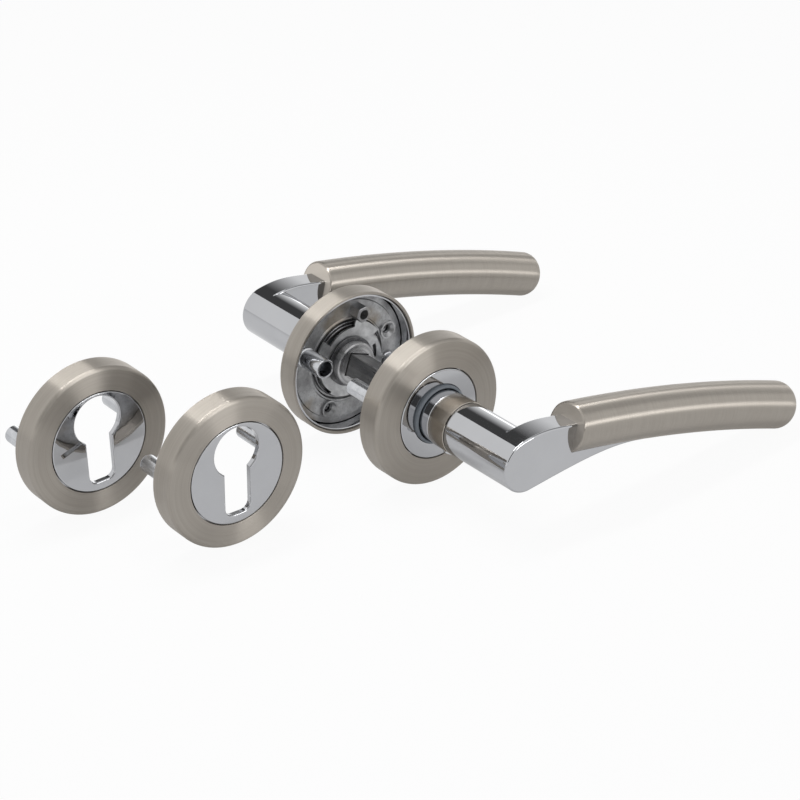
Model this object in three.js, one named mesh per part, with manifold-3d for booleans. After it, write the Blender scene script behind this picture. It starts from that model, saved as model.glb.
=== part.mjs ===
// A pair of lever door handles on round roses, joined by one square spindle, with two round
// keyhole escutcheons for a euro-profile cylinder. Lengths are in millimetres and +Z is up.
//
// The set is drawn flat first: X runs along the lever, Y is up and Z points away from the door,
// with Z = 0 on the face of the door. The last lines stand that drawing up, so that the spindle
// lies along the world's Y axis, with the origin at the middle of the door.
import * as THREE from "three";
import { mergeVertices } from "three/addons/utils/BufferGeometryUtils.js";
import Module from "manifold-3d";

const wasm = await Module();
wasm.setup();

// ---------------------------------------------------------------- driving dimensions
const GAP = 0.3; // between faces that touch on the real handle
const DOOR_THICKNESS = 37.5; // from the back of one rose to the back of the other
const HANDLE_TURN = -19; // degrees that both handles lie turned about the spindle, as set down

const ROSE_RADIUS = 26.75;
const ROSE_DEPTH = 8.6; // door face to the edge of the rose's face
const ROSE_RISE = 0.7; // the face climbs this much towards the insert
const ROSE_EDGE_ROUND = 1.4;
const COVER_WALL = 1.0;
const INSERT_RADIUS = 16.3;
const INSERT_WALL = 0.6;
const INSERT_RIM_SETBACK = 0.7; // the inner shell stops short of the cover's rim

const BASE_FLOOR = 4.9; // door face to the floor of the casting
const BASE_WALL = 1.4;
const RECESS_RADIUS = 15.3; // well in the casting for the drive plate and spring
const RECESS_BOTTOM = 5.6;
const RECESS_WALL = 0.8;
const RECESS_RIM = 0.4; // raised edge round the well

const FIXING_RADIUS = 19; // half of the 38 mm between fixing centres
const SOLID_POST = { radius: 3.1, bore: 1.6, reach: 15 }; // reach is beyond the door face
const TUBE_POST = { radius: 3.6, bore: 2.75, reach: 7 };
const POST_SPIGOT = 2.4; // radius of the end that passes through the casting
const POST_HOLE = 1.6;
const BOSS_RADIUS = 3.3;
const BOSS_PROUD = 0.9;
const SCREW_HOLE = 1.6;
const SCREW_HEAD = 2.8;
const SCREW_BOSS_ANGLES = [38, -96]; // degrees round the rose
const LUG = { radius: 18.3, angle: 96, flats: 5.5, bore: 1.8 }; // its end is flush with the door face

const FOLLOWER_PROUD = 1.0; // the follower's end stands this far out of the rose's back
const FOLLOWER_RADIUS = 8; // where it runs in the casting
const STUB_RADIUS = 9.4; // where it stands out of the rose
const STUB_END = 14.7;
const SPIGOT_RADIUS = 7.2; // end of the lever's neck inside the follower
const SPIGOT_START = 9.5;
const FOLLOWER_FLATS = 14.8; // across the two flats that drive the plate
const BUSH_RADIUS = 11.5;
const BUSH_TOP = 11.2; // height of the bush above the door face
const BUSH_FLANGE = 1.8; // how far its flange reaches beyond its barrel
const PLATE_RADIUS = 15.0;
const PLATE_FACE = 3.2; // door face to the drive plate
const PLATE_THICKNESS = 0.9;
// Stretches where the plate's edge lies inside its full radius: degrees round the rose, and the
// edge's radius at each end.
const PLATE_EDGE = [
  { from: 12, to: 52, start: 14.3, end: 12.8 }, // beside a screw boss
  { from: 98, to: 155, start: 12.6, end: 11.4 }, // window over the spring
  { from: 206, to: 250, start: 12.9, end: 12.7 }, // second window
  { from: 250, to: 300, start: 13.6, end: 13.6 },
];
const PLATE_SLOT = { from: 9, to: 35, inner: 10.6, outer: 12.0 }; // for the spring's end
const SPRING_WIRE = 0.9;
const SPRING_RADIUS = 14.5; // of the outermost turn of wire
const SPRING_TURNS = 1.6;
const SPRING_PITCH = 1.3; // each turn lies this much inside the last
const CIRCLIP_THICKNESS = 0.8;
const CIRCLIP_RADIUS = 9.2;
const CIRCLIP_GROOVE = 0.8; // depth of the groove in the follower
const CIRCLIP_ANGLE = 300; // degrees round the rose to its opening
const CIRCLIP_GAP = 40; // degrees of the opening

const NECK_RADIUS = 9.6;
const NECK_CORE = 8.5; // the neck under its collar
const COLLAR_START = 15.0; // satin sleeve on the neck, above the door face
const COLLAR_LENGTH = 8.1;
const GRUB_RADIUS = 2.3;
const GRUB_ANGLE = -90;
const GRUB_PROUD = 0.3;
const SPINDLE_SIDE = 8;
const SPINDLE_IN_NECK = 25; // length of spindle inside each handle
const SPINDLE_CHAMFER = 0.6;

const ARM_FACE = 55.2; // door face to the flat end of the lever's neck
const ARM_THICKNESS = 9.4;
const ARM_EDGE = 0.9; // rounding of the arm's edges
const ARM_LEAVE_TOP = 122; // degrees round the neck where the arm's edges leave it
const ARM_LEAVE_BOTTOM = -63;
const TONGUE_TOP = 3.0; // top edge of the arm above the grip's centre line
const TONGUE_LENGTH = 33;
const TONGUE_DROP = 7.6; // tip of the blade below the grip's centre line

const GRIP_RADIUS = 8.6;
const GRIP_START = [17.7, 12.05];
const GRIP_START_ANGLE = 10.7; // degrees above level at the arm
const GRIP_BEND_RADIUS = 566;
const GRIP_LENGTH = 108.5;
const GRIP_END_LEAN = -7.5; // degrees that the end face at the arm leans from square
const GRIP_END_ROUND = 5.6;
const GRIP_CHAMFER = 0.7;

const ESCUTCHEON_DEPTH = 8.9;
const ESCUTCHEON_RISE = 0.1;
const KEY_INSERT_RADIUS = 18;
const KEY_PLATE = 2.0; // thickness round the keyhole
const KEY_ROUND = 8.75; // radius of the keyhole's round part
const KEY_ROUND_HEIGHT = 8.1; // its centre above the middle
const KEY_SLOT = 9.9;
const KEY_BOTTOM = -14.9;
const KEY_CORNER = 3;
const KEY_BASE_MARGIN = 2.0; // the casting's keyhole is this much larger all round
const ESCUTCHEONS = {
  left: { place: [-101.4, 0, -34.1], turn: 2.5 },
  right: { place: [-77.5, 0, 11.2], turn: 0 },
};

const ROUND = 26; // facets of the large turned pieces
const SLIM = 20; // facets of the neck and what turns in the rose
const FINE = 10; // facets of the small ones

// ---------------------------------------------------------------- materials
const material = (color, metalness, roughness) =>
  new THREE.MeshStandardMaterial({ color, metalness, roughness });
const FINISH = {
  satin: () => material(0xa49b94, 1, 0.38),
  chrome: () => material(0xc8cbd0, 1, 0.06),
  zinc: () => material(0x8d8f90, 0.9, 0.5),
  steel: () => material(0x4c4b49, 0.9, 0.45),
  plated: () => material(0xb6b9ba, 0.9, 0.3),
  nylon: () => material(0x7d858c, 0, 0.5),
};

// ---------------------------------------------------------------- shaping helpers
const radians = THREE.MathUtils.degToRad;
const polar = (radius, degrees) => [
  radius * Math.cos(radians(degrees)),
  radius * Math.sin(radians(degrees)),
];

// A closed three.js geometry as a solid that can be joined and cut.
function solid(geometry) {
  const bare = geometry.clone();
  bare.deleteAttribute("normal");
  bare.deleteAttribute("uv");
  const merged = mergeVertices(bare, 1e-4);
  const faces = [];
  for (let i = 0; i < merged.index.count; i += 3) {
    const [a, b, c] = merged.index.array.slice(i, i + 3);
    if (a !== b && b !== c && c !== a) faces.push(a, b, c);
  }
  const vertProperties = new Float32Array(merged.attributes.position.array);
  const triVerts = new Uint32Array(faces);
  return new wasm.Manifold(new wasm.Mesh({ numProp: 3, vertProperties, triVerts }));
}

function geometryOf(manifold) {
  const mesh = manifold.getMesh();
  const geometry = new THREE.BufferGeometry();
  geometry.setAttribute("position", new THREE.BufferAttribute(mesh.vertProperties, 3));
  geometry.setIndex(new THREE.BufferAttribute(mesh.triVerts, 1));
  geometry.computeVertexNormals();
  return geometry;
}

function node(name, shape, finish) {
  const geometry = shape.isBufferGeometry ? shape : geometryOf(shape);
  const mesh = new THREE.Mesh(geometry, FINISH[finish]());
  mesh.name = name;
  return mesh;
}

// A profile of [radius, height] pairs turned about the Z axis. A profile that doesn't start on
// the axis closes on itself.
function turned(profile, facets = ROUND) {
  const points = profile.map(([r, z]) => new THREE.Vector2(r, z));
  if (profile[0][0] > 0) points.push(points[0].clone());
  return new THREE.LatheGeometry(points, facets).rotateX(Math.PI / 2);
}

const rod = (radius, low, high, facets = FINE) =>
  solid(turned([[0, low], [radius, low], [radius, high], [0, high]], facets));

const ring = (inner, outer, low, high, facets = ROUND) =>
  solid(turned([[inner, low], [outer, low], [outer, high], [inner, high]], facets));

// A flat outline raised from one height to another.
function raised(shape, low, high, curveSegments = 10) {
  const options = { depth: high - low, bevelEnabled: false, curveSegments };
  return solid(new THREE.ExtrudeGeometry(shape, options).translate(0, 0, low));
}

const box = (width, depth, low, high) =>
  solid(new THREE.BoxGeometry(width, depth, high - low).translate(0, 0, (low + high) / 2));

// A quarter round between two [radius, height] points of a profile.
function quarter(centre, radius, from, to, steps = 2) {
  return Array.from({ length: steps + 1 }, (_, i) => {
    const [x, y] = polar(radius, from + ((to - from) * i) / steps);
    return [centre[0] + x, centre[1] + y];
  });
}

// ---------------------------------------------------------------- rose shells
// The satin cover: a shallow cup whose face rises to the opening for the insert.
function coverShell(depth, rise, opening) {
  const edge = [ROSE_RADIUS - ROSE_EDGE_ROUND, depth - ROSE_EDGE_ROUND];
  const inside = ROSE_RADIUS - COVER_WALL;
  return turned([
    [inside, 0],
    [ROSE_RADIUS, 0],
    ...quarter(edge, ROSE_EDGE_ROUND, 0, 90),
    [opening, depth + rise],
    [opening, depth + rise - COVER_WALL],
    [inside, depth - COVER_WALL],
  ]);
}

// The polished shell behind the cover, whose raised middle fills the cover's opening.
function insertShell() {
  const outer = ROSE_RADIUS - COVER_WALL - GAP;
  const shelf = ROSE_DEPTH - COVER_WALL - GAP;
  const face = ROSE_DEPTH + ROSE_RISE;
  const hole = BUSH_RADIUS + GAP;
  return turned([
    [outer - INSERT_WALL, INSERT_RIM_SETBACK],
    [outer, INSERT_RIM_SETBACK],
    [outer, shelf],
    [INSERT_RADIUS, shelf],
    [INSERT_RADIUS, face],
    [hole, face],
    [hole, face - INSERT_WALL],
    [INSERT_RADIUS - INSERT_WALL, face - INSERT_WALL],
    [INSERT_RADIUS - INSERT_WALL, shelf - INSERT_WALL],
    [outer - INSERT_WALL, shelf - INSERT_WALL],
  ]);
}

// ---------------------------------------------------------------- base casting
const castingRadius = () => ROSE_RADIUS - COVER_WALL - INSERT_WALL - 2 * GAP;
const spigotHole = () => STUB_RADIUS + GAP + 0.9;

function castingDisc() {
  const well = RECESS_RADIUS + RECESS_WALL;
  const back = BASE_FLOOR + BASE_WALL;
  const bottom = RECESS_BOTTOM + RECESS_WALL;
  const rim = BASE_FLOOR - RECESS_RIM;
  return solid(
    turned([
      [spigotHole() + GAP, RECESS_BOTTOM],
      [RECESS_RADIUS, RECESS_BOTTOM],
      [RECESS_RADIUS, rim],
      [well, rim],
      [well, BASE_FLOOR],
      [castingRadius(), BASE_FLOOR],
      [castingRadius(), back],
      [well, back],
      [well, bottom],
      [spigotHole() + GAP, bottom],
    ]),
  );
}

function screwBoss(casting, degrees) {
  const [x, y] = polar(FIXING_RADIUS, degrees);
  const top = BASE_FLOOR - BOSS_PROUD;
  const far = BASE_FLOOR + BASE_WALL;
  const boss = rod(BOSS_RADIUS, top, far).translate([x, y, 0]);
  const bore = rod(SCREW_HOLE, top - 1, far + 1).translate([x, y, 0]);
  const head = turned([[0, top - 0.1], [SCREW_HEAD, top - 0.1], [0, top + SCREW_HEAD]], FINE);
  return casting.add(boss).subtract(bore).subtract(solid(head).translate([x, y, 0]));
}

// The hexagonal lug that locates the rose in the door.
function locatingLug(casting) {
  const [x, y] = polar(LUG.radius, LUG.angle);
  const corner = LUG.flats / Math.sqrt(3);
  const hexagon = rod(corner, 0, BASE_FLOOR + 0.5, 6).rotate([0, 0, 30]).translate([x, y, 0]);
  const well = rod(RECESS_RADIUS, -1, BASE_FLOOR + 1, ROUND);
  const bore = rod(LUG.bore, -1, BASE_FLOOR).translate([x, y, 0]);
  return casting.add(hexagon.subtract(well)).subtract(bore);
}

// A hole for a post's spigot, with room for the post itself above the casting's floor.
function postSocket(casting, degrees, postRadius) {
  const [x, y] = polar(FIXING_RADIUS, degrees);
  const hole = rod(POST_SPIGOT + GAP, -1, BASE_FLOOR + BASE_WALL + 1);
  const seat = rod(postRadius + GAP, -1, BASE_FLOOR);
  return casting.subtract(hole.add(seat).translate([x, y, 0]));
}

function roseBase(postRadius) {
  let casting = castingDisc();
  for (const degrees of SCREW_BOSS_ANGLES) casting = screwBoss(casting, degrees);
  casting = locatingLug(casting);
  for (const degrees of [0, 180]) casting = postSocket(casting, degrees, postRadius);
  return casting;
}

// A fixing post stands on the casting, with a thinner spigot through it and a bore all the way.
function fixingPost({ radius, bore, reach }, degrees) {
  const foot = BASE_FLOOR - GAP;
  const end = BASE_FLOOR + BASE_WALL + 0.1;
  const [x, y] = polar(FIXING_RADIUS, degrees);
  const profile = [
    [bore, -reach],
    [radius - 0.4, -reach],
    [radius, 0.4 - reach],
    [radius, foot],
    [POST_SPIGOT, foot],
    [POST_SPIGOT, end],
    [POST_HOLE, end],
  ];
  if (bore > POST_HOLE) profile.push([POST_HOLE, foot - 1], [bore, foot - 1]);
  return turned(profile, FINE).translate(x, y, 0);
}

// ---------------------------------------------------------------- turning mechanism
function neckBush() {
  const bore = STUB_RADIUS + GAP;
  const seat = RECESS_BOTTOM + RECESS_WALL + GAP;
  const flange = BUSH_RADIUS + BUSH_FLANGE;
  const flangeTop = ROSE_DEPTH + ROSE_RISE - INSERT_WALL - GAP;
  return turned(
    [
      [bore, RECESS_BOTTOM + GAP],
      [spigotHole(), RECESS_BOTTOM + GAP],
      [spigotHole(), seat],
      [flange, seat],
      [flange, flangeTop],
      [BUSH_RADIUS, flangeTop],
      [BUSH_RADIUS, BUSH_TOP - 0.6],
      [BUSH_RADIUS - 0.6, BUSH_TOP],
      [bore, BUSH_TOP],
    ],
    SLIM,
  );
}

const grooveFloor = () => FOLLOWER_RADIUS - CIRCLIP_GROOVE;
const circlipHigh = () => PLATE_FACE - GAP;
const circlipLow = () => circlipHigh() - CIRCLIP_THICKNESS;

// The turned piece that carries the lever in the rose: a square hole for the spindle, a groove
// for the circlip, two flats for the drive plate, and a stub that takes the lever's neck.
function follower() {
  const shoulder = RECESS_BOTTOM + GAP;
  const pocket = SPIGOT_START - GAP;
  const body = turned(
    [
      [0, -FOLLOWER_PROUD],
      [FOLLOWER_RADIUS - 0.3, -FOLLOWER_PROUD],
      [FOLLOWER_RADIUS, 0.3 - FOLLOWER_PROUD],
      [FOLLOWER_RADIUS, circlipLow() - GAP / 2],
      [grooveFloor(), circlipLow() - GAP / 2],
      [grooveFloor(), circlipHigh() + GAP / 2],
      [FOLLOWER_RADIUS, circlipHigh() + GAP / 2],
      [FOLLOWER_RADIUS, shoulder],
      [STUB_RADIUS, shoulder],
      [STUB_RADIUS, STUB_END],
      [SPIGOT_RADIUS + GAP, STUB_END],
      [SPIGOT_RADIUS + GAP, pocket],
      [0, pocket],
    ],
    SLIM,
  );
  const socket = SPINDLE_SIDE + 2 * GAP;
  const plateHigh = PLATE_FACE + PLATE_THICKNESS + GAP;
  const slab = box(4 * STUB_RADIUS, 4 * STUB_RADIUS, circlipHigh() + GAP / 2, plateHigh);
  const core = box(FOLLOWER_FLATS, 5 * STUB_RADIUS, 0, plateHigh + 1);
  const hole = box(socket, socket, -2 * FOLLOWER_PROUD, pocket + 1);
  return solid(body).subtract(hole).subtract(slab.subtract(core));
}

// The drive plate's edge: its full radius, broken by stretches that lie further in.
function plateOutline() {
  const outline = new THREE.Shape();
  const steps = 4;
  let full = PLATE_EDGE.at(-1).to - 360;
  for (const { from, to, start, end } of PLATE_EDGE) {
    if (from > full) outline.absarc(0, 0, PLATE_RADIUS, radians(full), radians(from), false);
    for (let i = 0; i <= steps; i++) {
      const share = i / steps;
      outline.lineTo(...polar(start + (end - start) * share, from + (to - from) * share));
    }
    full = to;
  }
  return outline;
}

function plateSlot() {
  const { from, to, inner, outer } = PLATE_SLOT;
  const slot = new THREE.Shape();
  slot.absarc(0, 0, outer, radians(from), radians(to), false);
  slot.absarc(0, 0, inner, radians(to), radians(from), true);
  return slot;
}

// Steel plate keyed to the follower's flats. It turns with the lever and winds the spring.
function drivePlate() {
  const high = PLATE_FACE + PLATE_THICKNESS;
  const slot = raised(plateSlot(), PLATE_FACE - 1, high + 1, 5);
  const plate = raised(plateOutline(), PLATE_FACE, high, 7).subtract(slot);
  const round = rod(FOLLOWER_RADIUS + GAP, PLATE_FACE - 1, high + 1, SLIM);
  const flats = box(FOLLOWER_FLATS + 2 * GAP, 4 * FOLLOWER_RADIUS, 0, high + 2);
  return plate.subtract(round.intersect(flats));
}

// Open retaining ring, sprung into the follower's groove.
function circlip() {
  const half = CIRCLIP_GAP / 2;
  const outline = new THREE.Shape();
  outline.absarc(0, 0, CIRCLIP_RADIUS, radians(half), radians(360 - half), false);
  outline.absarc(0, 0, grooveFloor() + GAP, radians(360 - half), radians(half), true);
  return raised(outline, circlipLow(), circlipHigh(), 14).rotate([0, 0, CIRCLIP_ANGLE]);
}

// Flat coil of wire between the drive plate and the bottom of the well.
class SpringPath extends THREE.Curve {
  getPoint(t) {
    const turn = SPRING_TURNS * t;
    const [x, y] = polar(SPRING_RADIUS - SPRING_PITCH * turn, 40 + 360 * turn);
    const height = (PLATE_FACE + PLATE_THICKNESS + RECESS_BOTTOM) / 2;
    return new THREE.Vector3(x, y, height);
  }
}

function returnSpring() {
  const wire = new THREE.Shape();
  wire.absarc(0, 0, SPRING_WIRE / 2, 0, 2 * Math.PI, false);
  const options = { steps: 30, curveSegments: 3, extrudePath: new SpringPath() };
  return new THREE.ExtrudeGeometry(wire, options);
}

// ---------------------------------------------------------------- lever arm
const gripHeight = () => ARM_FACE - ARM_THICKNESS / 2; // centre line above the door face

// A point of the grip's centre line, a length along it and an offset above it.
function onGrip(length, above = 0) {
  const start = radians(GRIP_START_ANGLE);
  const now = start - length / GRIP_BEND_RADIUS;
  const centreX = GRIP_START[0] + GRIP_BEND_RADIUS * Math.sin(start);
  const centreY = GRIP_START[1] - GRIP_BEND_RADIUS * Math.cos(start);
  const reach = GRIP_BEND_RADIUS + above;
  return new THREE.Vector2(centreX - reach * Math.sin(now), centreY + reach * Math.cos(now));
}

const gripDirection = (length) => {
  const angle = radians(GRIP_START_ANGLE) - length / GRIP_BEND_RADIUS;
  return new THREE.Vector2(Math.cos(angle), Math.sin(angle));
};

// Moves along a straight line from a point: the control points of the arm's long curves.
const stepped = (point, direction, distance) =>
  point.clone().addScaledVector(direction, distance);

// The arm seen from the front: the neck's round, a crest up to the grip, the tongue inside the
// grip, and the long blade that sweeps from the neck up under the grip.
function armOutline() {
  const onNeck = (degrees) => new THREE.Vector2(...polar(NECK_RADIUS, degrees));
  const alongNeck = (degrees) => new THREE.Vector2(...polar(1, degrees - 90));
  const topStart = onNeck(ARM_LEAVE_TOP);
  const crest = onGrip(0, TONGUE_TOP);
  const tip = onGrip(TONGUE_LENGTH, -TONGUE_DROP);
  const bottomEnd = onNeck(ARM_LEAVE_BOTTOM);
  const rise = stepped(topStart, alongNeck(ARM_LEAVE_TOP), 10);
  const settle = stepped(crest, gripDirection(0), -8);
  const lift = stepped(tip, gripDirection(TONGUE_LENGTH), -15);
  const leave = stepped(bottomEnd, alongNeck(ARM_LEAVE_BOTTOM + 180), 22);
  const outline = new THREE.Shape();
  outline.moveTo(topStart.x, topStart.y);
  outline.bezierCurveTo(rise.x, rise.y, settle.x, settle.y, crest.x, crest.y);
  for (const share of [0.25, 0.5, 0.75, 1]) {
    const point = onGrip(share * TONGUE_LENGTH, TONGUE_TOP);
    outline.lineTo(point.x, point.y);
  }
  outline.lineTo(tip.x, tip.y);
  outline.bezierCurveTo(lift.x, lift.y, leave.x, leave.y, bottomEnd.x, bottomEnd.y);
  outline.absarc(
    0, 0, NECK_RADIUS, radians(ARM_LEAVE_BOTTOM), radians(ARM_LEAVE_TOP - 360), true,
  );
  return outline;
}

// The turned neck: a spigot inside the follower, the core under the collar, then full size.
function neckBody() {
  const shoulder = COLLAR_START + COLLAR_LENGTH + GAP;
  const inPlate = ARM_FACE - ARM_THICKNESS / 2;
  return solid(
    turned(
      [
        [0, SPIGOT_START],
        [SPIGOT_RADIUS, SPIGOT_START],
        [SPIGOT_RADIUS, STUB_END + GAP],
        [NECK_CORE, STUB_END + GAP],
        [NECK_CORE, shoulder],
        [NECK_RADIUS - 0.3, shoulder],
        [NECK_RADIUS, shoulder + 0.3],
        [NECK_RADIUS, inPlate],
        [0, inPlate],
      ],
      SLIM,
    ),
  );
}

// Places a rod drawn along Z so that it points outwards from the neck at the grub screw's angle.
function atGrub(shape) {
  const height = COLLAR_START + COLLAR_LENGTH / 2;
  return shape.rotate([90, 0, GRUB_ANGLE + 90]).translate([0, 0, height]);
}

const grubHole = () => atGrub(rod(GRUB_RADIUS + GAP, 0, 2 * NECK_RADIUS));

// The arm's outline as a plate with rounded edges.
function armPlate() {
  const options = {
    depth: ARM_THICKNESS - 2 * ARM_EDGE,
    bevelThickness: ARM_EDGE,
    bevelSize: ARM_EDGE,
    bevelOffset: -ARM_EDGE,
    bevelSegments: 2,
    curveSegments: 10,
  };
  const plate = new THREE.ExtrudeGeometry(armOutline(), options);
  return solid(plate.translate(0, 0, ARM_FACE - ARM_THICKNESS + ARM_EDGE));
}

function leverArm() {
  const plate = armPlate();
  const socket = SPINDLE_SIDE + 2 * GAP;
  const bore = box(socket, socket, SPIGOT_START - 1, SPINDLE_IN_NECK + 2 * GAP);
  return neckBody().add(plate).subtract(bore).subtract(grubHole());
}

function neckCollar() {
  const high = COLLAR_START + COLLAR_LENGTH;
  return ring(NECK_CORE + GAP, NECK_RADIUS + 0.1, COLLAR_START, high, SLIM).subtract(grubHole());
}

// Socket-headed grub screw that bears on one face of the spindle.
function grubScrew() {
  const tip = SPINDLE_SIDE / 2 + 2 * GAP;
  const head = NECK_RADIUS + GRUB_PROUD;
  return atGrub(rod(GRUB_RADIUS, tip, head).subtract(rod(1.3, head - 1.8, head + 1, 6)));
}

// ---------------------------------------------------------------- grip
// Rings along the grip's centre line joined into a closed round bar. The first rings lean.
function roundBar(stations, facets) {
  const positions = [];
  const faces = [];
  for (const { length, radius } of stations) {
    const axis = onGrip(length);
    const lean = GRIP_END_LEAN * Math.max(0, 1 - length / (2 * GRIP_RADIUS));
    const up = gripDirection(length).rotateAround(new THREE.Vector2(), radians(90 + lean));
    for (let k = 0; k < facets; k++) {
      const [across, out] = polar(radius, (360 * k) / facets);
      positions.push(axis.x + up.x * across, axis.y + up.y * across, gripHeight() + out);
    }
  }
  const last = (stations.length - 1) * facets;
  for (let row = 0; row < last; row += facets) {
    for (let k = 0; k < facets; k++) {
      const next = (k + 1) % facets;
      const corners = [row + k, row + next, row + facets + next, row + facets + k];
      faces.push(corners[0], corners[1], corners[2], corners[0], corners[2], corners[3]);
    }
  }
  for (let k = 1; k < facets - 1; k++) faces.push(0, k + 1, k, last, last + k, last + k + 1);
  const geometry = new THREE.BufferGeometry();
  geometry.setAttribute("position", new THREE.Float32BufferAttribute(positions, 3));
  return geometry.setIndex(faces);
}

function gripStations() {
  const straight = 9;
  const first = { length: 0, radius: GRIP_RADIUS - GRIP_CHAMFER };
  const stations = [first];
  const roundStart = GRIP_LENGTH - GRIP_END_ROUND;
  for (let i = 0; i <= straight; i++) {
    const length = GRIP_CHAMFER + ((roundStart - GRIP_CHAMFER) * i) / straight;
    stations.push({ length, radius: GRIP_RADIUS });
  }
  for (const degrees of [25, 50, 75, 90]) {
    const [inwards, along] = polar(GRIP_END_ROUND, degrees);
    stations.push({
      length: roundStart + along,
      radius: GRIP_RADIUS - GRIP_END_ROUND + inwards,
    });
  }
  return stations;
}

// The channel in the grip that takes the arm's tongue, open at the end and below.
function tongueSlot() {
  const outline = new THREE.Shape();
  const start = onGrip(-2, TONGUE_TOP + GAP);
  outline.moveTo(start.x, start.y);
  for (const share of [0, 0.25, 0.5, 0.75, 1]) {
    const point = onGrip(share * (TONGUE_LENGTH + GAP), TONGUE_TOP + GAP);
    outline.lineTo(point.x, point.y);
  }
  const below = -2 * GRIP_RADIUS;
  for (const length of [TONGUE_LENGTH + GAP, -2]) {
    const point = onGrip(length, below);
    outline.lineTo(point.x, point.y);
  }
  return raised(outline, ARM_FACE - ARM_THICKNESS - GAP, ARM_FACE + GAP);
}

const leverGrip = () => solid(roundBar(gripStations(), 20)).subtract(tongueSlot());

// ---------------------------------------------------------------- spindle
function spindle() {
  const half = DOOR_THICKNESS / 2 + SPINDLE_IN_NECK;
  const side = SPINDLE_SIDE;
  const square = new THREE.Shape();
  const reach = side / 2;
  const corner = reach - SPINDLE_CHAMFER;
  square.moveTo(reach, -corner);
  square.lineTo(reach, corner);
  square.lineTo(corner, reach);
  square.lineTo(-corner, reach);
  square.lineTo(-reach, corner);
  square.lineTo(-reach, -corner);
  square.lineTo(-corner, -reach);
  square.lineTo(corner, -reach);
  return raised(square, -half, half);
}

// ---------------------------------------------------------------- escutcheons
// Euro-profile keyhole: a round with a slot below it, grown by a margin.
function keyhole(margin) {
  const half = KEY_SLOT / 2 + margin;
  const round = KEY_ROUND + margin;
  const bottom = KEY_BOTTOM - margin;
  const meet = Math.asin(half / round);
  const corner = KEY_CORNER;
  const outline = new THREE.Shape();
  outline.absarc(
    0, KEY_ROUND_HEIGHT, round, -Math.PI / 2 + meet, (3 * Math.PI) / 2 - meet, false,
  );
  outline.absarc(corner - half, bottom + corner, corner, Math.PI, 1.5 * Math.PI, false);
  outline.absarc(half - corner, bottom + corner, corner, 1.5 * Math.PI, 2 * Math.PI, false);
  return outline;
}

function keyInsert() {
  const face = ESCUTCHEON_DEPTH + ESCUTCHEON_RISE;
  const disc = solid(
    turned([
      [0, face - KEY_PLATE],
      [KEY_INSERT_RADIUS + 1.6, face - KEY_PLATE],
      [KEY_INSERT_RADIUS + 1.6, face - COVER_WALL - GAP],
      [KEY_INSERT_RADIUS, face - COVER_WALL - GAP],
      [KEY_INSERT_RADIUS, face - 0.25],
      [KEY_INSERT_RADIUS - 0.25, face],
      [0, face],
    ]),
  );
  return disc.subtract(raised(keyhole(0), face - KEY_PLATE - 1, face + 1, 7));
}

// Flat casting behind the insert, cut through for the lock cylinder.
function escutcheonBase() {
  const radius = ROSE_RADIUS - COVER_WALL - GAP;
  const top = ESCUTCHEON_DEPTH + ESCUTCHEON_RISE - KEY_PLATE - GAP;
  const floor = BASE_FLOOR + BASE_WALL;
  const opening = raised(keyhole(KEY_BASE_MARGIN), -1, ESCUTCHEON_DEPTH, 6);
  const wall = raised(keyhole(KEY_BASE_MARGIN + BASE_WALL), BASE_FLOOR, top, 6);
  let casting = rod(radius, BASE_FLOOR, floor, ROUND).add(wall).subtract(opening);
  for (const degrees of [0, 180]) {
    casting = postSocket(casting, degrees, SOLID_POST.radius);
  }
  return casting;
}

// Right and left fixing posts of a rose or an escutcheon.
function addPosts(group, prefix, size) {
  for (const [side, degrees] of [["right", 0], ["left", 180]]) {
    group.add(node(`${prefix}_post_${side}`, fixingPost(size, degrees), "plated"));
  }
}

function escutcheon(prefix) {
  const group = new THREE.Group();
  const cover = coverShell(ESCUTCHEON_DEPTH, ESCUTCHEON_RISE, KEY_INSERT_RADIUS + GAP);
  group.add(
    node(`${prefix}_cover`, cover, "satin"),
    node(`${prefix}_key_insert`, keyInsert(), "chrome"),
    node(`${prefix}_base`, escutcheonBase(), "zinc"),
  );
  addPosts(group, prefix, SOLID_POST);
  return group;
}

// ---------------------------------------------------------------- one handle
function handle(prefix, post) {
  const group = new THREE.Group();
  const cover = coverShell(ROSE_DEPTH, ROSE_RISE, INSERT_RADIUS + GAP);
  group.add(
    node(`${prefix}_rose_cover`, cover, "satin"),
    node(`${prefix}_rose_insert`, insertShell(), "chrome"),
    node(`${prefix}_rose_base`, roseBase(post.radius), "zinc"),
    node(`${prefix}_neck_bush`, neckBush(), "nylon"),
    node(`${prefix}_return_spring`, returnSpring(), "steel"),
    node(`${prefix}_drive_plate`, drivePlate(), "plated"),
    node(`${prefix}_circlip`, circlip(), "steel"),
    node(`${prefix}_follower`, follower(), "chrome"),
    node(`${prefix}_lever_arm`, leverArm(), "chrome"),
    node(`${prefix}_neck_collar`, neckCollar(), "satin"),
    node(`${prefix}_grub_screw`, grubScrew(), "plated"),
    node(`${prefix}_lever_grip`, leverGrip(), "satin"),
  );
  addPosts(group, prefix, post);
  return group;
}

// ---------------------------------------------------------------- the whole set
function handlePair() {
  const pair = new THREE.Group();
  const outside = handle("outside", SOLID_POST);
  const inside = handle("inside", TUBE_POST);
  outside.position.z = DOOR_THICKNESS / 2;
  inside.position.z = -DOOR_THICKNESS / 2;
  inside.scale.z = -1;
  pair.add(outside, inside, node("spindle", spindle(), "steel"));
  pair.rotation.z = radians(HANDLE_TURN);
  return pair;
}

const set = new THREE.Group();
set.add(handlePair());
for (const [side, { place, turn }] of Object.entries(ESCUTCHEONS)) {
  const plate = escutcheon(`${side}_escutcheon`);
  plate.position.set(...place);
  plate.rotation.z = radians(turn);
  set.add(plate);
}
set.rotation.x = Math.PI / 2;

export default set;
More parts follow.
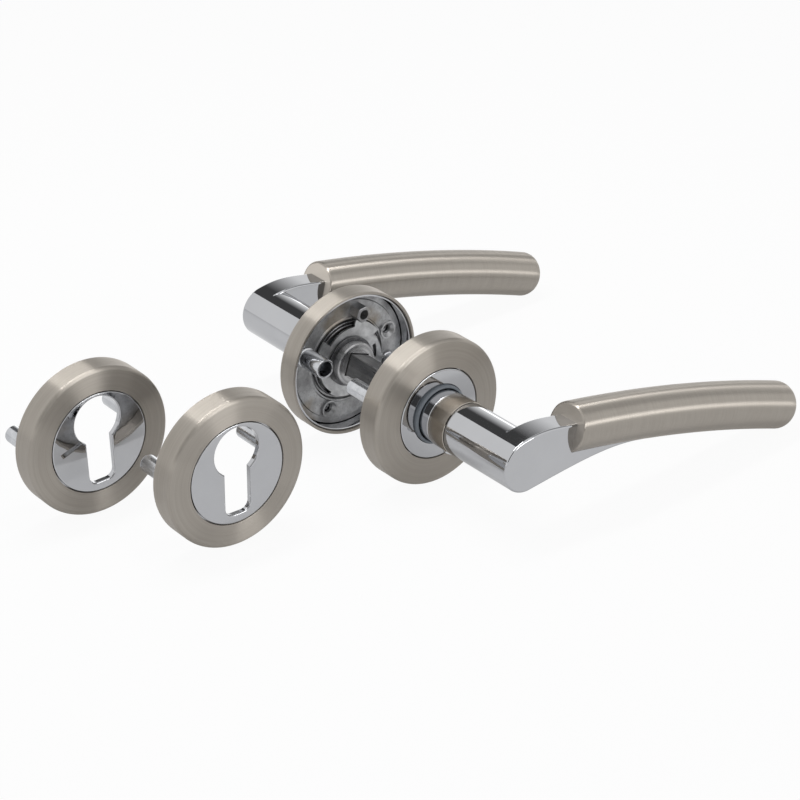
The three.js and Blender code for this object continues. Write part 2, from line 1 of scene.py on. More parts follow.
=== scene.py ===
"""A pair of lever door handles on round roses, with one spindle and two keyhole escutcheons.

Every piece is drawn in millimetres in one flat drawing frame, as it would be on a bench: X runs
along the lever, Y is up and Z points away from the door, with Z = 0 on the face of the door.
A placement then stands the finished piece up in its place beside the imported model, in metres.
"""

import logging
import math
from dataclasses import dataclass, field
from enum import Enum
from typing import Callable, Iterable, Sequence

import bmesh
import bpy
from mathutils import Matrix, Vector


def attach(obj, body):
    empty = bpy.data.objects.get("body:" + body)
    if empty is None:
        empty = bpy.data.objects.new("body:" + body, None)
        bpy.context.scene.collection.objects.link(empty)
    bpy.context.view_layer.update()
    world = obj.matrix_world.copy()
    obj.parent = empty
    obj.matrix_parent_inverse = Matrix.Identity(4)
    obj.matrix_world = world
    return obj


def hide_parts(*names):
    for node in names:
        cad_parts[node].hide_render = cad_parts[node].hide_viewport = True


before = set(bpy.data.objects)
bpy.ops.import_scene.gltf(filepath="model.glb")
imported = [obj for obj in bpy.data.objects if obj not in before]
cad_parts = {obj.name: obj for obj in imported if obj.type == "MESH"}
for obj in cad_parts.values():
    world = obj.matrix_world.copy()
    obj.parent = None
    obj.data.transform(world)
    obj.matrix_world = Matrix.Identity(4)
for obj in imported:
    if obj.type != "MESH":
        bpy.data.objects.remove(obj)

LOG = logging.getLogger("door_handle")
Point2 = tuple[float, float]
EdgeTest = Callable[[Vector, Vector], bool]


class Body(Enum):
    """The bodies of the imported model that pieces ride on."""

    ROSES = "roses"
    LEVERS = "levers"


class Side(Enum):
    """The two faces of the door that a handle can be on."""

    OUTSIDE = "outside"
    INSIDE = "inside"


class Slot(Enum):
    """Material slots of the record."""

    NICKEL = "satin_nickel"
    CHROME = "polished_chrome"
    ZINC = "zinc_casting"
    NYLON = "grey_nylon"
    DARK = "dark_steel"
    PLATED = "plated_steel"


# ------------------------------------------------------------------ drawing helpers
def polar(radius: float, degrees: float) -> Point2:
    """Returns the point at a radius and an angle from the X axis."""
    return radius * math.cos(math.radians(degrees)), radius * math.sin(math.radians(degrees))


def arc(centre: Point2, radius: float, start: float, end: float, steps: int) -> list[Point2]:
    """Points of a circular arc, both ends included.

    Args:
        centre: The arc's centre.
        radius: Its radius.
        start: The angle of the first point, in degrees.
        end: The angle of the last point, in degrees.
        steps: How many chords it has.

    Returns:
        The points in order.
    """
    turn = [polar(radius, start + (end - start) * i / steps) for i in range(steps + 1)]
    return [(centre[0] + x, centre[1] + y) for x, y in turn]


def bezier(points: Sequence[Vector], steps: int) -> list[Point2]:
    """Points of a cubic curve after its first one.

    Args:
        points: Its four control points.
        steps: How many chords it has.

    Returns:
        The points in order, the last control point included.
    """
    a, b, c, d = points
    made = []
    for i in range(1, steps + 1):
        t = i / steps
        s = 1 - t
        p = a * s**3 + b * 3 * s * s * t + c * 3 * s * t * t + d * t**3
        made.append((p.x, p.y))
    return made


# ------------------------------------------------------------------ the bench
class Blank:
    """A piece while it is being made on the bench, in the drawing's millimetres."""

    def __init__(self, piece: bpy.types.Object) -> None:
        """Takes over an object that a primitive operator has just added."""
        self.piece = piece

    @staticmethod
    def clear_bench() -> None:
        """Leaves edit mode and deselects everything."""
        if bpy.context.object and bpy.context.object.mode != "OBJECT":
            bpy.ops.object.mode_set(mode="OBJECT")
        bpy.ops.object.select_all(action="DESELECT")

    @classmethod
    def chain(cls, name: str, points: Iterable[Sequence[float]]) -> "Blank":
        """Draws a chain of edges, one vertex after another.

        Args:
            name: The piece's name.
            points: The vertices, as (x, y, z).

        Returns:
            The blank, in edit mode.
        """
        cls.clear_bench()
        first, *rest = [Vector(p) for p in points]
        bpy.ops.mesh.primitive_plane_add(size=1, enter_editmode=True)
        blank = cls(bpy.context.object)
        blank.piece.name = blank.piece.data.name = name
        bpy.ops.mesh.merge(type="CENTER")
        bpy.ops.transform.translate(value=first)
        bpy.ops.mesh.select_mode(type="VERT")
        at = first
        for point in rest:
            bpy.ops.mesh.extrude_region_move(TRANSFORM_OT_translate={"value": point - at})
            at = point
        return blank

    @classmethod
    def turned(
        cls, name: str, profile: Sequence[Point2], facets: int = 128, start: float = 0.0
    ) -> "Blank":
        """Spins a profile about the Z axis.

        Args:
            name: The piece's name.
            profile: (radius, height) pairs. One that starts off the axis is closed first.
            facets: Steps of the spin.
            start: The angle of the first profile, in degrees.

        Returns:
            The blank, in edit mode.
        """
        points = [(*polar(r, start), z) for r, z in profile]
        blank = cls.chain(name, points)
        if profile[0][0] > 0:
            blank.close_chain()
        bpy.ops.mesh.select_all(action="SELECT")
        bpy.ops.mesh.spin(steps=facets, angle=2 * math.pi, center=(0, 0, 0), axis=(0, 0, 1))
        return blank.clean()

    @classmethod
    def plate(cls, name: str, outline: Sequence[Point2], low: float, high: float) -> "Blank":
        """Extrudes a flat outline from one height to another.

        Args:
            name: The piece's name.
            outline: The outline's corners, in order.
            low: The height of its lower face.
            high: The height of its upper face.

        Returns:
            The blank, in edit mode.
        """
        blank = cls.chain(name, [(x, y, low) for x, y in outline])
        blank.close_chain()
        bpy.ops.mesh.select_all(action="SELECT")
        bpy.ops.mesh.edge_face_add()
        bpy.ops.mesh.extrude_region_move(
            TRANSFORM_OT_translate={"value": (0, 0, high - low)}
        )
        return blank.clean()

    @classmethod
    def rod(
        cls,
        name: str,
        radius: float,
        low: float,
        high: float,
        at: Point2 = (0, 0),
        facets: int = 64,
        turn: float = 0.0,
    ) -> "Blank":
        """Adds a round or many-sided rod along Z.

        Args:
            name: The piece's name.
            radius: Its radius, to the corners.
            low: The height of its lower end.
            high: The height of its upper end.
            at: Where it stands.
            facets: Its number of sides.
            turn: How far it is turned about its own axis, in degrees.

        Returns:
            The blank, in object mode.
        """
        cls.clear_bench()
        bpy.ops.mesh.primitive_cylinder_add(
            vertices=facets,
            radius=radius,
            depth=high - low,
            location=(at[0], at[1], (low + high) / 2),
            rotation=(0, 0, math.radians(turn)),
        )
        blank = cls(bpy.context.object)
        blank.piece.name = blank.piece.data.name = name
        bpy.ops.object.transform_apply(location=True, rotation=True, scale=True)
        return blank

    def edit(self) -> "Blank":
        """Opens the piece in edit mode with everything selected."""
        self.clear_bench()
        bpy.context.view_layer.objects.active = self.piece
        self.piece.select_set(True)
        bpy.ops.object.mode_set(mode="EDIT")
        bpy.ops.mesh.select_mode(type="VERT")
        bpy.ops.mesh.select_all(action="SELECT")
        return self

    def close_chain(self) -> "Blank":
        """Joins the last vertex of an open chain to the first."""
        mesh = bmesh.from_edit_mesh(self.piece.data)
        mesh.verts.ensure_lookup_table()
        ends = [v for v in mesh.verts if len(v.link_edges) == 1]
        for vertex in mesh.verts:
            vertex.select_set(vertex in ends)
        bmesh.update_edit_mesh(self.piece.data)
        bpy.ops.mesh.edge_face_add()
        return self

    def clean(self) -> "Blank":
        """Merges doubled vertices and turns every face outwards."""
        bpy.ops.mesh.select_all(action="SELECT")
        bpy.ops.mesh.remove_doubles(threshold=0.0005)
        bpy.ops.mesh.normals_make_consistent(inside=False)
        return self

    def choose_edges(self, test: EdgeTest) -> int:
        """Selects the edges whose two ends pass a test.

        Args:
            test: Takes both ends of an edge and says whether it is wanted.

        Returns:
            How many edges are selected.
        """
        bpy.ops.mesh.select_mode(type="EDGE")
        bpy.ops.mesh.select_all(action="DESELECT")
        mesh = bmesh.from_edit_mesh(self.piece.data)
        chosen = [e for e in mesh.edges if test(e.verts[0].co, e.verts[1].co)]
        for edge in chosen:
            edge.select_set(True)
        bmesh.update_edit_mesh(self.piece.data)
        return len(chosen)

    def choose_faces(self, test: Callable[[bmesh.types.BMFace], bool]) -> int:
        """Selects the faces that pass a test, and returns how many there are."""
        bpy.ops.mesh.select_mode(type="FACE")
        bpy.ops.mesh.select_all(action="DESELECT")
        mesh = bmesh.from_edit_mesh(self.piece.data)
        chosen = [f for f in mesh.faces if test(f)]
        for face in chosen:
            face.select_set(True)
        bmesh.update_edit_mesh(self.piece.data)
        return len(chosen)

    def choose_wire(self) -> None:
        """Selects the edges that have no face."""
        self._choose_linked(0)

    def choose_open(self) -> None:
        """Selects the edges of holes."""
        self._choose_linked(1)

    def _choose_linked(self, faces: int) -> None:
        """Selects the edges that have so many faces."""
        bpy.ops.mesh.select_mode(type="EDGE")
        bpy.ops.mesh.select_all(action="DESELECT")
        mesh = bmesh.from_edit_mesh(self.piece.data)
        for edge in mesh.edges:
            if len(edge.link_faces) == faces:
                edge.select_set(True)
        bmesh.update_edit_mesh(self.piece.data)

    def round_edges(self, test: EdgeTest, width: float, segments: int = 4) -> "Blank":
        """Bevels the edges that pass a test.

        Args:
            test: Takes both ends of an edge and says whether it is wanted.
            width: How far the rounding reaches from the edge.
            segments: How many facets it has.

        Returns:
            The blank, in edit mode.
        """
        if self.piece.mode != "EDIT":
            self.edit()
        if self.choose_edges(test):
            bpy.ops.mesh.bevel(offset=width, segments=segments, affect="EDGES")
        return self

    def _modify(self, kind: str, **values: object) -> None:
        """Adds a modifier with its values and applies it."""
        self.clear_bench()
        bpy.context.view_layer.objects.active = self.piece
        self.piece.select_set(True)
        bpy.ops.object.modifier_add(type=kind)
        modifier = self.piece.modifiers[-1]
        for key, value in values.items():
            setattr(modifier, key, value)
        bpy.ops.object.modifier_apply(modifier=modifier.name)

    def cut(self, *tools: "Blank") -> "Blank":
        """Cuts the shape of each tool out of the piece."""
        return self._combine("DIFFERENCE", tools)

    def weld(self, *tools: "Blank") -> "Blank":
        """Joins each tool's solid to the piece."""
        return self._combine("UNION", tools)

    def _combine(self, operation: str, tools: Sequence["Blank"]) -> "Blank":
        """Combines the piece with each tool's solid, and removes the tools."""
        for tool in tools:
            self._modify("BOOLEAN", operation=operation, solver="EXACT", object=tool.piece)
            bpy.data.objects.remove(tool.piece)
        return self

    def soften(self, width: float, segments: int = 3, angle: float = 40.0) -> "Blank":
        """Rounds every edge that is sharper than an angle.

        Args:
            width: How far the rounding reaches from the edge.
            segments: How many facets it has.
            angle: The least angle between two faces, in degrees.

        Returns:
            The blank, in object mode.
        """
        self._modify(
            "BEVEL",
            width=width,
            segments=segments,
            limit_method="ANGLE",
            angle_limit=math.radians(angle),
            use_clamp_overlap=True,
        )
        return self

    def place(self, placement: Matrix, smooth: float = 32.0) -> bpy.types.Object:
        """Stands the finished piece in its place, with its origin left at the world's.

        Args:
            placement: From the drawing's millimetres to the world's metres.
            smooth: Faces that meet at less than this many degrees are shaded as one surface.

        Returns:
            The finished object.
        """
        self.edit()
        bpy.ops.mesh.remove_doubles(threshold=0.004)
        self.clear_bench()
        bpy.context.view_layer.objects.active = self.piece
        self.piece.select_set(True)
        self.piece.matrix_world = placement
        bpy.ops.object.transform_apply(location=True, rotation=True, scale=True)
        self.edit()
        bpy.ops.mesh.normals_make_consistent(inside=False)
        bpy.ops.object.mode_set(mode="OBJECT")
        bpy.ops.object.shade_smooth_by_angle(angle=math.radians(smooth))
        self._modify("WEIGHTED_NORMAL", keep_sharp=True)
        return self.piece


# ------------------------------------------------------------------ finishes
class Recipe:
    """A node material while it is being mixed."""

    def __init__(self, name: str) -> None:
        """Starts a material with an empty node tree, a shader and an output."""
        self.material = bpy.data.materials.new(name)
        self.material.use_nodes = True
        self.tree = self.material.node_tree
        self.tree.nodes.clear()
        self.shader = self.add("ShaderNodeBsdfPrincipled")
        output = self.add("ShaderNodeOutputMaterial")
        self.join(self.shader.outputs[0], output.inputs[0])
        self.place = self.add("ShaderNodeTexCoord").outputs["Object"]

    def add(self, kind: str, **values: object) -> bpy.types.Node:
        """Adds a node and sets its properties."""
        node = self.tree.nodes.new(kind)
        for key, value in values.items():
            setattr(node, key, value)
        return node

    def join(self, output: bpy.types.NodeSocket, socket: bpy.types.NodeSocket) -> None:
        """Links an output to an input."""
        self.tree.links.new(output, socket)

    def set(self, **values: float | tuple[float, ...]) -> None:
        """Sets constants on the shader, with underscores for the spaces of a socket's name."""
        for key, value in values.items():
            self.shader.inputs[key.replace("_", " ")].default_value = value

    def feed(self, output: bpy.types.NodeSocket, name: str) -> None:
        """Links an output to one of the shader's sockets."""
        self.join(output, self.shader.inputs[name])

    def math(
        self,
        operation: str,
        a: bpy.types.NodeSocket | float,
        b: bpy.types.NodeSocket | float = 0.0,
    ) -> bpy.types.NodeSocket:
        """Does arithmetic on one or two numbers and returns the result."""
        node = self.add("ShaderNodeMath", operation=operation)
        for value, socket in zip((a, b), node.inputs):
            if isinstance(value, (int, float)):
                socket.default_value = value
            else:
                self.join(value, socket)
        return node.outputs[0]

    def noise(
        self,
        scale: float,
        detail: float = 3.0,
        roughness: float = 0.55,
        source: bpy.types.NodeSocket | None = None,
        stretch: tuple[float, float, float] = (1, 1, 1),
    ) -> bpy.types.NodeSocket:
        """Adds a noise pattern.

        Args:
            scale: Its scale, per metre.
            detail: Octaves.
            roughness: The weight of the finer octaves.
            source: What places it, in place of the piece's own coordinates.
            stretch: A factor on the scale along each axis.

        Returns:
            Its value, about 0.5 on average.
        """
        mapping = self.add("ShaderNodeMapping", vector_type="POINT")
        mapping.inputs["Scale"].default_value = stretch
        self.join(source or self.place, mapping.inputs["Vector"])
        node = self.add("ShaderNodeTexNoise")
        node.inputs["Scale"].default_value = scale
        node.inputs["Detail"].default_value = detail
        node.inputs["Roughness"].default_value = roughness
        self.join(mapping.outputs[0], node.inputs["Vector"])
        return node.outputs[0]

    def spread(
        self, value: bpy.types.NodeSocket, low: float, high: float,
        start: float = 0.3, end: float = 0.7,
    ) -> bpy.types.NodeSocket:
        """Maps a value from one range to another, and holds it there.

        Args:
            value: What is mapped.
            low: The result at the start of its range.
            high: The result at its end.
            start: Where the range starts.
            end: Where it ends.

        Returns:
            The result.
        """
        node = self.add("ShaderNodeMapRange", clamp=True)
        for name, number in (
            ("From Min", start), ("From Max", end), ("To Min", low), ("To Max", high)
        ):
            node.inputs[name].default_value = number
        self.join(value, node.inputs["Value"])
        return node.outputs[0]

    def blend(
        self,
        share: bpy.types.NodeSocket,
        a: tuple[float, float, float] | bpy.types.NodeSocket,
        b: tuple[float, float, float],
    ) -> bpy.types.NodeSocket:
        """Mixes two colours.

        Args:
            share: 0 for the first colour, 1 for the second.
            a: The first colour.
            b: The second colour.

        Returns:
            The mixed colour.
        """
        node = self.add("ShaderNodeMix", data_type="RGBA")
        self.join(share, node.inputs[0])
        if isinstance(a, tuple):
            node.inputs[6].default_value = (*a, 1)
        else:
            self.join(a, node.inputs[6])
        node.inputs[7].default_value = (*b, 1)
        return node.outputs[2]

    def bump(self, height: bpy.types.NodeSocket, depth: float, strength: float = 1.0) -> None:
        """Gives the surface a relief.

        Args:
            height: The pattern of the relief, from 0 to 1.
            depth: How deep it is, in metres.
            strength: How much of it shows.
        """
        node = self.add("ShaderNodeBump")
        node.inputs["Strength"].default_value = strength
        node.inputs["Distance"].default_value = depth
        self.join(height, node.inputs["Height"])
        self.feed(node.outputs[0], "Normal")


@dataclass(frozen=True)
class BrushedNickel:
    """Satin metal whose fine lines run in circles about one axis along the world's Y.

    On a bent bar the axis is the bend's, and the lines run round the bar instead.
    """

    name: str
    centre: tuple[float, float] = (0.0, 0.0)  # x and z of the axis, in metres
    round_bar: bool = False
    colour: tuple[float, float, float] = (0.43, 0.398, 0.357)
    shade: tuple[float, float, float] = (0.395, 0.363, 0.322)
    roughness: float = 0.36
    grain: float = 2600.0  # lines per metre, about
    lean: float = 0.08  # how far the lines round a bar lean
    polished_from: float = 1.0  # metres from the door's middle at which it is polished instead

    def mix(self) -> bpy.types.Material:
        """Returns the material."""
        recipe = Recipe(self.name)
        shift = recipe.add("ShaderNodeVectorMath", operation="SUBTRACT")
        shift.inputs[1].default_value = (self.centre[0], 0, self.centre[1])
        recipe.join(recipe.place, shift.inputs[0])
        split = recipe.add("ShaderNodeSeparateXYZ")
        recipe.join(shift.outputs[0], split.inputs[0])
        x, y, z = split.outputs
        squares = recipe.math("ADD", recipe.math("POWER", x, 2), recipe.math("POWER", z, 2))
        reach = recipe.math("SQRT", squares)
        lines = recipe.add("ShaderNodeCombineXYZ")
        if self.round_bar:
            far = math.hypot(*self.centre)
            length = recipe.math("MULTIPLY", recipe.math("ARCTAN2", x, z), far)
            places = (length, recipe.math("MULTIPLY", y, 0.05),
                      recipe.math("MULTIPLY", reach, 0.05))
        else:
            along = recipe.math(
                "ADD", recipe.math("MULTIPLY", x, 0.012), recipe.math("MULTIPLY", z, 0.009)
            )
            places = (reach, y, along)
        for source, socket in zip(places, lines.inputs):
            recipe.join(source, socket)
        fine = recipe.noise(self.grain, 2, 0.6, lines.outputs[0])
        broad = recipe.noise(self.grain * 0.16, 2, 0.5, lines.outputs[0])
        both = recipe.math("ADD", recipe.math("MULTIPLY", fine, 0.82),
                           recipe.math("MULTIPLY", broad, 0.18))
        turned = recipe.blend(recipe.spread(both, 0, 1, 0.36, 0.64), self.shade, self.colour)
        gloss = recipe.spread(both, self.roughness + 0.03, self.roughness - 0.03)
        away = recipe.math("ABSOLUTE", y)
        polished = recipe.math("GREATER_THAN", away, self.polished_from)
        matt = recipe.math("SUBTRACT", 1.0, polished)
        recipe.feed(recipe.blend(polished, turned, PolishedChrome.colour), "Base Color")
        recipe.feed(
            recipe.math("MAXIMUM", recipe.math("MULTIPLY", gloss, matt), 0.04), "Roughness"
        )
        recipe.bump(recipe.math("MULTIPLY", fine, matt), 0.000006, 0.4)
        recipe.set(Metallic=1.0, Anisotropic=1.0)
        recipe.set(Anisotropic_Rotation=0.0 if self.round_bar else 0.25)
        self._direct(recipe, x, z)
        return recipe.material

    def _direct(
        self, recipe: Recipe, x: bpy.types.NodeSocket, z: bpy.types.NodeSocket
    ) -> None:
        """Lays the direction round the axis, for the shader's tangent."""
        tangent = recipe.add("ShaderNodeCombineXYZ")
        recipe.join(recipe.math("MULTIPLY", z, -1), tangent.inputs[0])
        recipe.join(x, tangent.inputs[2])
        if self.round_bar:
            tangent.inputs[1].default_value = self.lean * math.hypot(*self.centre)
        turn = recipe.add(
            "ShaderNodeVectorTransform", vector_type="VECTOR",
            convert_from="OBJECT", convert_to="WORLD",
        )
        recipe.join(tangent.outputs[0], turn.inputs[0])
        recipe.feed(turn.outputs[0], "Tangent")


@dataclass(frozen=True)
class PolishedChrome:
    """Bright chrome plate with the faintest unevenness."""

    name: str = "polished_chrome"
    colour: tuple[float, float, float] = (0.5, 0.505, 0.52)
    roughness: float = 0.03

    def mix(self) -> bpy.types.Material:
        """Returns the material."""
        recipe = Recipe(self.name)
        haze = recipe.noise(90, 4, 0.6)
        recipe.feed(recipe.spread(haze, self.roughness, self.roughness + 0.035, 0.45, 0.75),
                    "Roughness")
        recipe.feed(recipe.blend(recipe.spread(haze, 0, 1), self.colour,
                                 tuple(0.96 * c for c in self.colour)), "Base Color")
        recipe.bump(recipe.noise(45, 1), 0.00004, 0.25)
        recipe.set(Metallic=1.0)
        return recipe.material


@dataclass(frozen=True)
class ZincCasting:
    """Bare die-cast zinc, grey and mottled, with a brown stain in one place."""

    name: str = "zinc_casting"
    colour: tuple[float, float, float] = (0.53, 0.535, 0.54)
    dark: tuple[float, float, float] = (0.33, 0.33, 0.335)
    stain: tuple[float, float, float] = (0.26, 0.2, 0.12)

    def mix(self) -> bpy.types.Material:
        """Returns the material."""
        recipe = Recipe(self.name)
        cloud = recipe.noise(160, 5, 0.62)
        grit = recipe.noise(1500, 4, 0.6)
        base = recipe.blend(recipe.spread(cloud, 0, 1, 0.38, 0.6), self.dark, self.colour)
        patch = recipe.spread(recipe.noise(70, 3, 0.5), 0, 0.55, 0.55, 0.68)
        base = recipe.blend(patch, base, self.stain)
        speck = recipe.blend(recipe.spread(grit, 0, 0.45, 0.52, 0.72), base, (0.14, 0.14, 0.15))
        recipe.feed(speck, "Base Color")
        recipe.feed(recipe.spread(cloud, 0.46, 0.34), "Roughness")
        recipe.bump(grit, 0.00003, 0.35)
        recipe.set(Metallic=0.9)
        return recipe.material


@dataclass(frozen=True)
class PlainMetal:
    """Turned or drawn steel, with a soft unevenness of colour and gloss."""

    name: str
    colour: tuple[float, float, float]
    shade: tuple[float, float, float]
    roughness: float
    stretch: tuple[float, float, float] = (1, 1, 1)
    relief: float = 0.00002

    def mix(self) -> bpy.types.Material:
        """Returns the material."""
        recipe = Recipe(self.name)
        cloud = recipe.noise(240, 4, 0.6, None, self.stretch)
        fine = recipe.noise(2400, 3, 0.6, None, self.stretch)
        recipe.feed(
            recipe.blend(recipe.spread(cloud, 0, 1, 0.36, 0.64), self.shade, self.colour),
            "Base Color",
        )
        recipe.feed(
            recipe.spread(fine, self.roughness - 0.06, self.roughness + 0.1), "Roughness"
        )
        recipe.bump(fine, self.relief, 0.5)
        recipe.set(Metallic=0.95)
        return recipe.material


@dataclass(frozen=True)
class GreyNylon:
    """Moulded grey nylon with a slight sheen."""

    name: str = "grey_nylon"
    colour: tuple[float, float, float] = (0.2, 0.225, 0.25)

    def mix(self) -> bpy.types.Material:
        """Returns the material."""
        recipe = Recipe(self.name)
        cloud = recipe.noise(300, 3)
        recipe.feed(recipe.blend(recipe.spread(cloud, 0, 1), self.colour,
                                 tuple(0.86 * c for c in self.colour)), "Base Color")
        recipe.bump(recipe.noise(2500, 2), 0.00002, 0.4)
        recipe.set(Metallic=0.0, Roughness=0.4)
        return recipe.material


class Paints:
    """Every finish of the set, mixed once."""

    def __init__(self, grip_centres: dict[Side, tuple[float, float]],
                 plate_centres: dict[str, tuple[float, float]]) -> None:
        """Mixes the materials.

        Args:
            grip_centres: The centre that each grip bends about, as x and z in metres.
            plate_centres: The axis of each escutcheon, as x and z in metres.
        """
        self.turned = BrushedNickel("satin_nickel_turned").mix()
        self.collar = BrushedNickel("satin_nickel_collar", roughness=0.13).mix()
        self.grip = {
            side: BrushedNickel(f"satin_nickel_{side.value}_grip", centre, True).mix()
            for side, centre in grip_centres.items()
        }
        self.plate = {
            name: BrushedNickel(f"satin_nickel_{name}", centre).mix()
            for name, centre in plate_centres.items()
        }
        self.chrome = PolishedChrome().mix()
        self.zinc = ZincCasting().mix()
        self.hub = BrushedNickel(
            "turned_zinc", colour=(0.52, 0.52, 0.525), shade=(0.34, 0.34, 0.345),
            roughness=0.26, grain=1500.0, polished_from=0.0246,
        ).mix()
        self.nylon = GreyNylon().mix()
        self.spindle = PlainMetal(
            "spindle_steel", (0.34, 0.34, 0.345), (0.2, 0.2, 0.205), 0.3, (1, 0.1, 1)
        ).mix()
        self.spring = PlainMetal(
            "spring_steel", (0.2, 0.2, 0.205), (0.09, 0.09, 0.095), 0.28
        ).mix()
        self.plated = PlainMetal(
            "plated_steel", (0.62, 0.63, 0.65), (0.52, 0.53, 0.55), 0.16, relief=0.000004
        ).mix()
        self.pressed = PlainMetal(
            "pressed_steel", (0.66, 0.665, 0.67), (0.42, 0.425, 0.43), 0.34, relief=0.00003
        ).mix()


# ------------------------------------------------------------------ common frame
@dataclass(frozen=True)
class Layout:
    """Where each drawing stands in the world."""

    gap: float = 0.3  # between faces that touch on the real handle
    door: float = 37.5  # from the back of one rose to the back of the other
    handle_turn: float = -19.0  # degrees about the spindle

    @staticmethod
    def upright() -> Matrix:
        """Returns the drawing stood up, with its millimetres made metres."""
        return Matrix.Rotation(math.pi / 2, 4, "X") @ Matrix.Scale(0.001, 4)

    def handle(self, side: Side) -> Matrix:
        """Returns the placement of one handle."""
        facing = 1 if side is Side.OUTSIDE else -1
        turn = Matrix.Rotation(math.radians(self.handle_turn), 4, "Z")
        out = Matrix.Translation((0, 0, facing * self.door / 2))
        return self.upright() @ turn @ out @ Matrix.Diagonal((1, 1, facing, 1))

    def plate(self, centre: Point2, back: float, turn: float) -> Matrix:
        """Returns the placement of one escutcheon.

        Args:
            centre: Its x and height, in millimetres.
            back: How far its back lies in front of the middle of the door, in millimetres.
            turn: How far it is turned about its own axis, in degrees.
        """
        move = Matrix.Translation((centre[0], centre[1], back))
        return self.upright() @ move @ Matrix.Rotation(math.radians(turn), 4, "Z")


def dress(
    piece: bpy.types.Object,
    paint: bpy.types.Material,
    slot: Slot,
    body: Body,
    *nodes: str,
) -> None:
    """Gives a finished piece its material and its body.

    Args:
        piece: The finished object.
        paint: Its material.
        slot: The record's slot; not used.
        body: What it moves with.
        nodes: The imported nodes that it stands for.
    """
    piece.data.materials.clear()
    piece.data.materials.append(paint)
    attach(piece, body.value)
    if nodes:
        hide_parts(*nodes)
    LOG.info("%s: %d faces", piece.name, len(piece.data.polygons))


# ------------------------------------------------------------------ rose
@dataclass
class RoseShells:
    """The satin cover of a rose and the polished shell behind it."""

    layout: Layout
    radius: float = 26.75
    depth: float = 8.6
    rise: float = 0.7
    edge_round: float = 1.4
    wall: float = 1.0
    opening: float = 16.6
    insert_radius: float = 16.3
    insert_wall: float = 0.6
    rim_setback: float = 0.7
    opening_in_face: float = 10.85

    def cover_profile(self) -> list[Point2]:
        """Returns the cover's section, from the inside of its rim round to its inner face."""
        inside = self.radius - self.wall
        edge = (self.radius - self.edge_round, self.depth - self.edge_round)
        face = self.depth + self.rise
        return [
            (inside + 0.12, 0),
            (self.radius - 0.12, 0),
            (self.radius, 0.12),
            (self.radius, 3.0),
            *arc(edge, self.edge_round, 0, 86, 9),
            (self.opening + 4.0, face - self.rise * 0.25),
            (self.opening + 0.25, face),
            (self.opening + 0.08, face - 0.06),
            (self.opening, face - 0.25),
            (self.opening, face - self.wall),
            (inside - 1.2, self.depth - self.wall),
            (inside - 0.35, self.depth - self.wall - 0.35),
            (inside, self.depth - self.wall - 1.2),
            (inside, 0.12),
        ]

    def insert_profile(self) -> list[Point2]:
        """Returns the polished shell's section."""
        gap, wall = self.layout.gap, self.insert_wall
        outer = self.radius - self.wall - gap
        shelf = self.depth - self.wall - gap
        face = self.depth + self.rise
        hole = self.opening_in_face
        return [
            (outer - wall, self.rim_setback + 0.1),
            (outer - wall / 2, self.rim_setback),
            (outer, self.rim_setback + 0.1),
            (outer, shelf - 0.5),
            (outer - 0.5, shelf),
            (self.insert_radius, shelf),
            (self.insert_radius, face - 0.45),
            *arc((self.insert_radius - 0.45, face - 0.45), 0.45, 0, 90, 5)[1:],
            (hole + 0.15, face),
            (hole, face - 0.15),
            (hole, face - wall),
            (self.insert_radius - wall, face - wall),
            (self.insert_radius - wall, shelf - wall),
            (outer - wall - 0.5, shelf - wall),
            (outer - wall, shelf - wall - 0.5),
        ]

    def build(self, side: Side, paints: Paints) -> None:
        """Makes and dresses both shells of one rose."""
        placement = self.layout.handle(side)
        name = f"{side.value}_rose_cover"
        cover = Blank.turned(f"{name}_shell", self.cover_profile(), 160).place(placement)
        dress(cover, paints.turned, Slot.NICKEL, Body.ROSES, name)
        name = f"{side.value}_rose_insert"
        insert = Blank.turned(f"{name}_shell", self.insert_profile(), 160).place(placement)
        dress(insert, paints.chrome, Slot.CHROME, Body.ROSES, name)


@dataclass
class PostSize:
    """Sizes of a fixing post."""

    radius: float
    bore: float
    reach: float


@dataclass(frozen=True)
class Edge:
    """A stretch of the drive plate's edge, in degrees, and its radius at each end."""

    start: float
    end: float
    first: float
    last: float


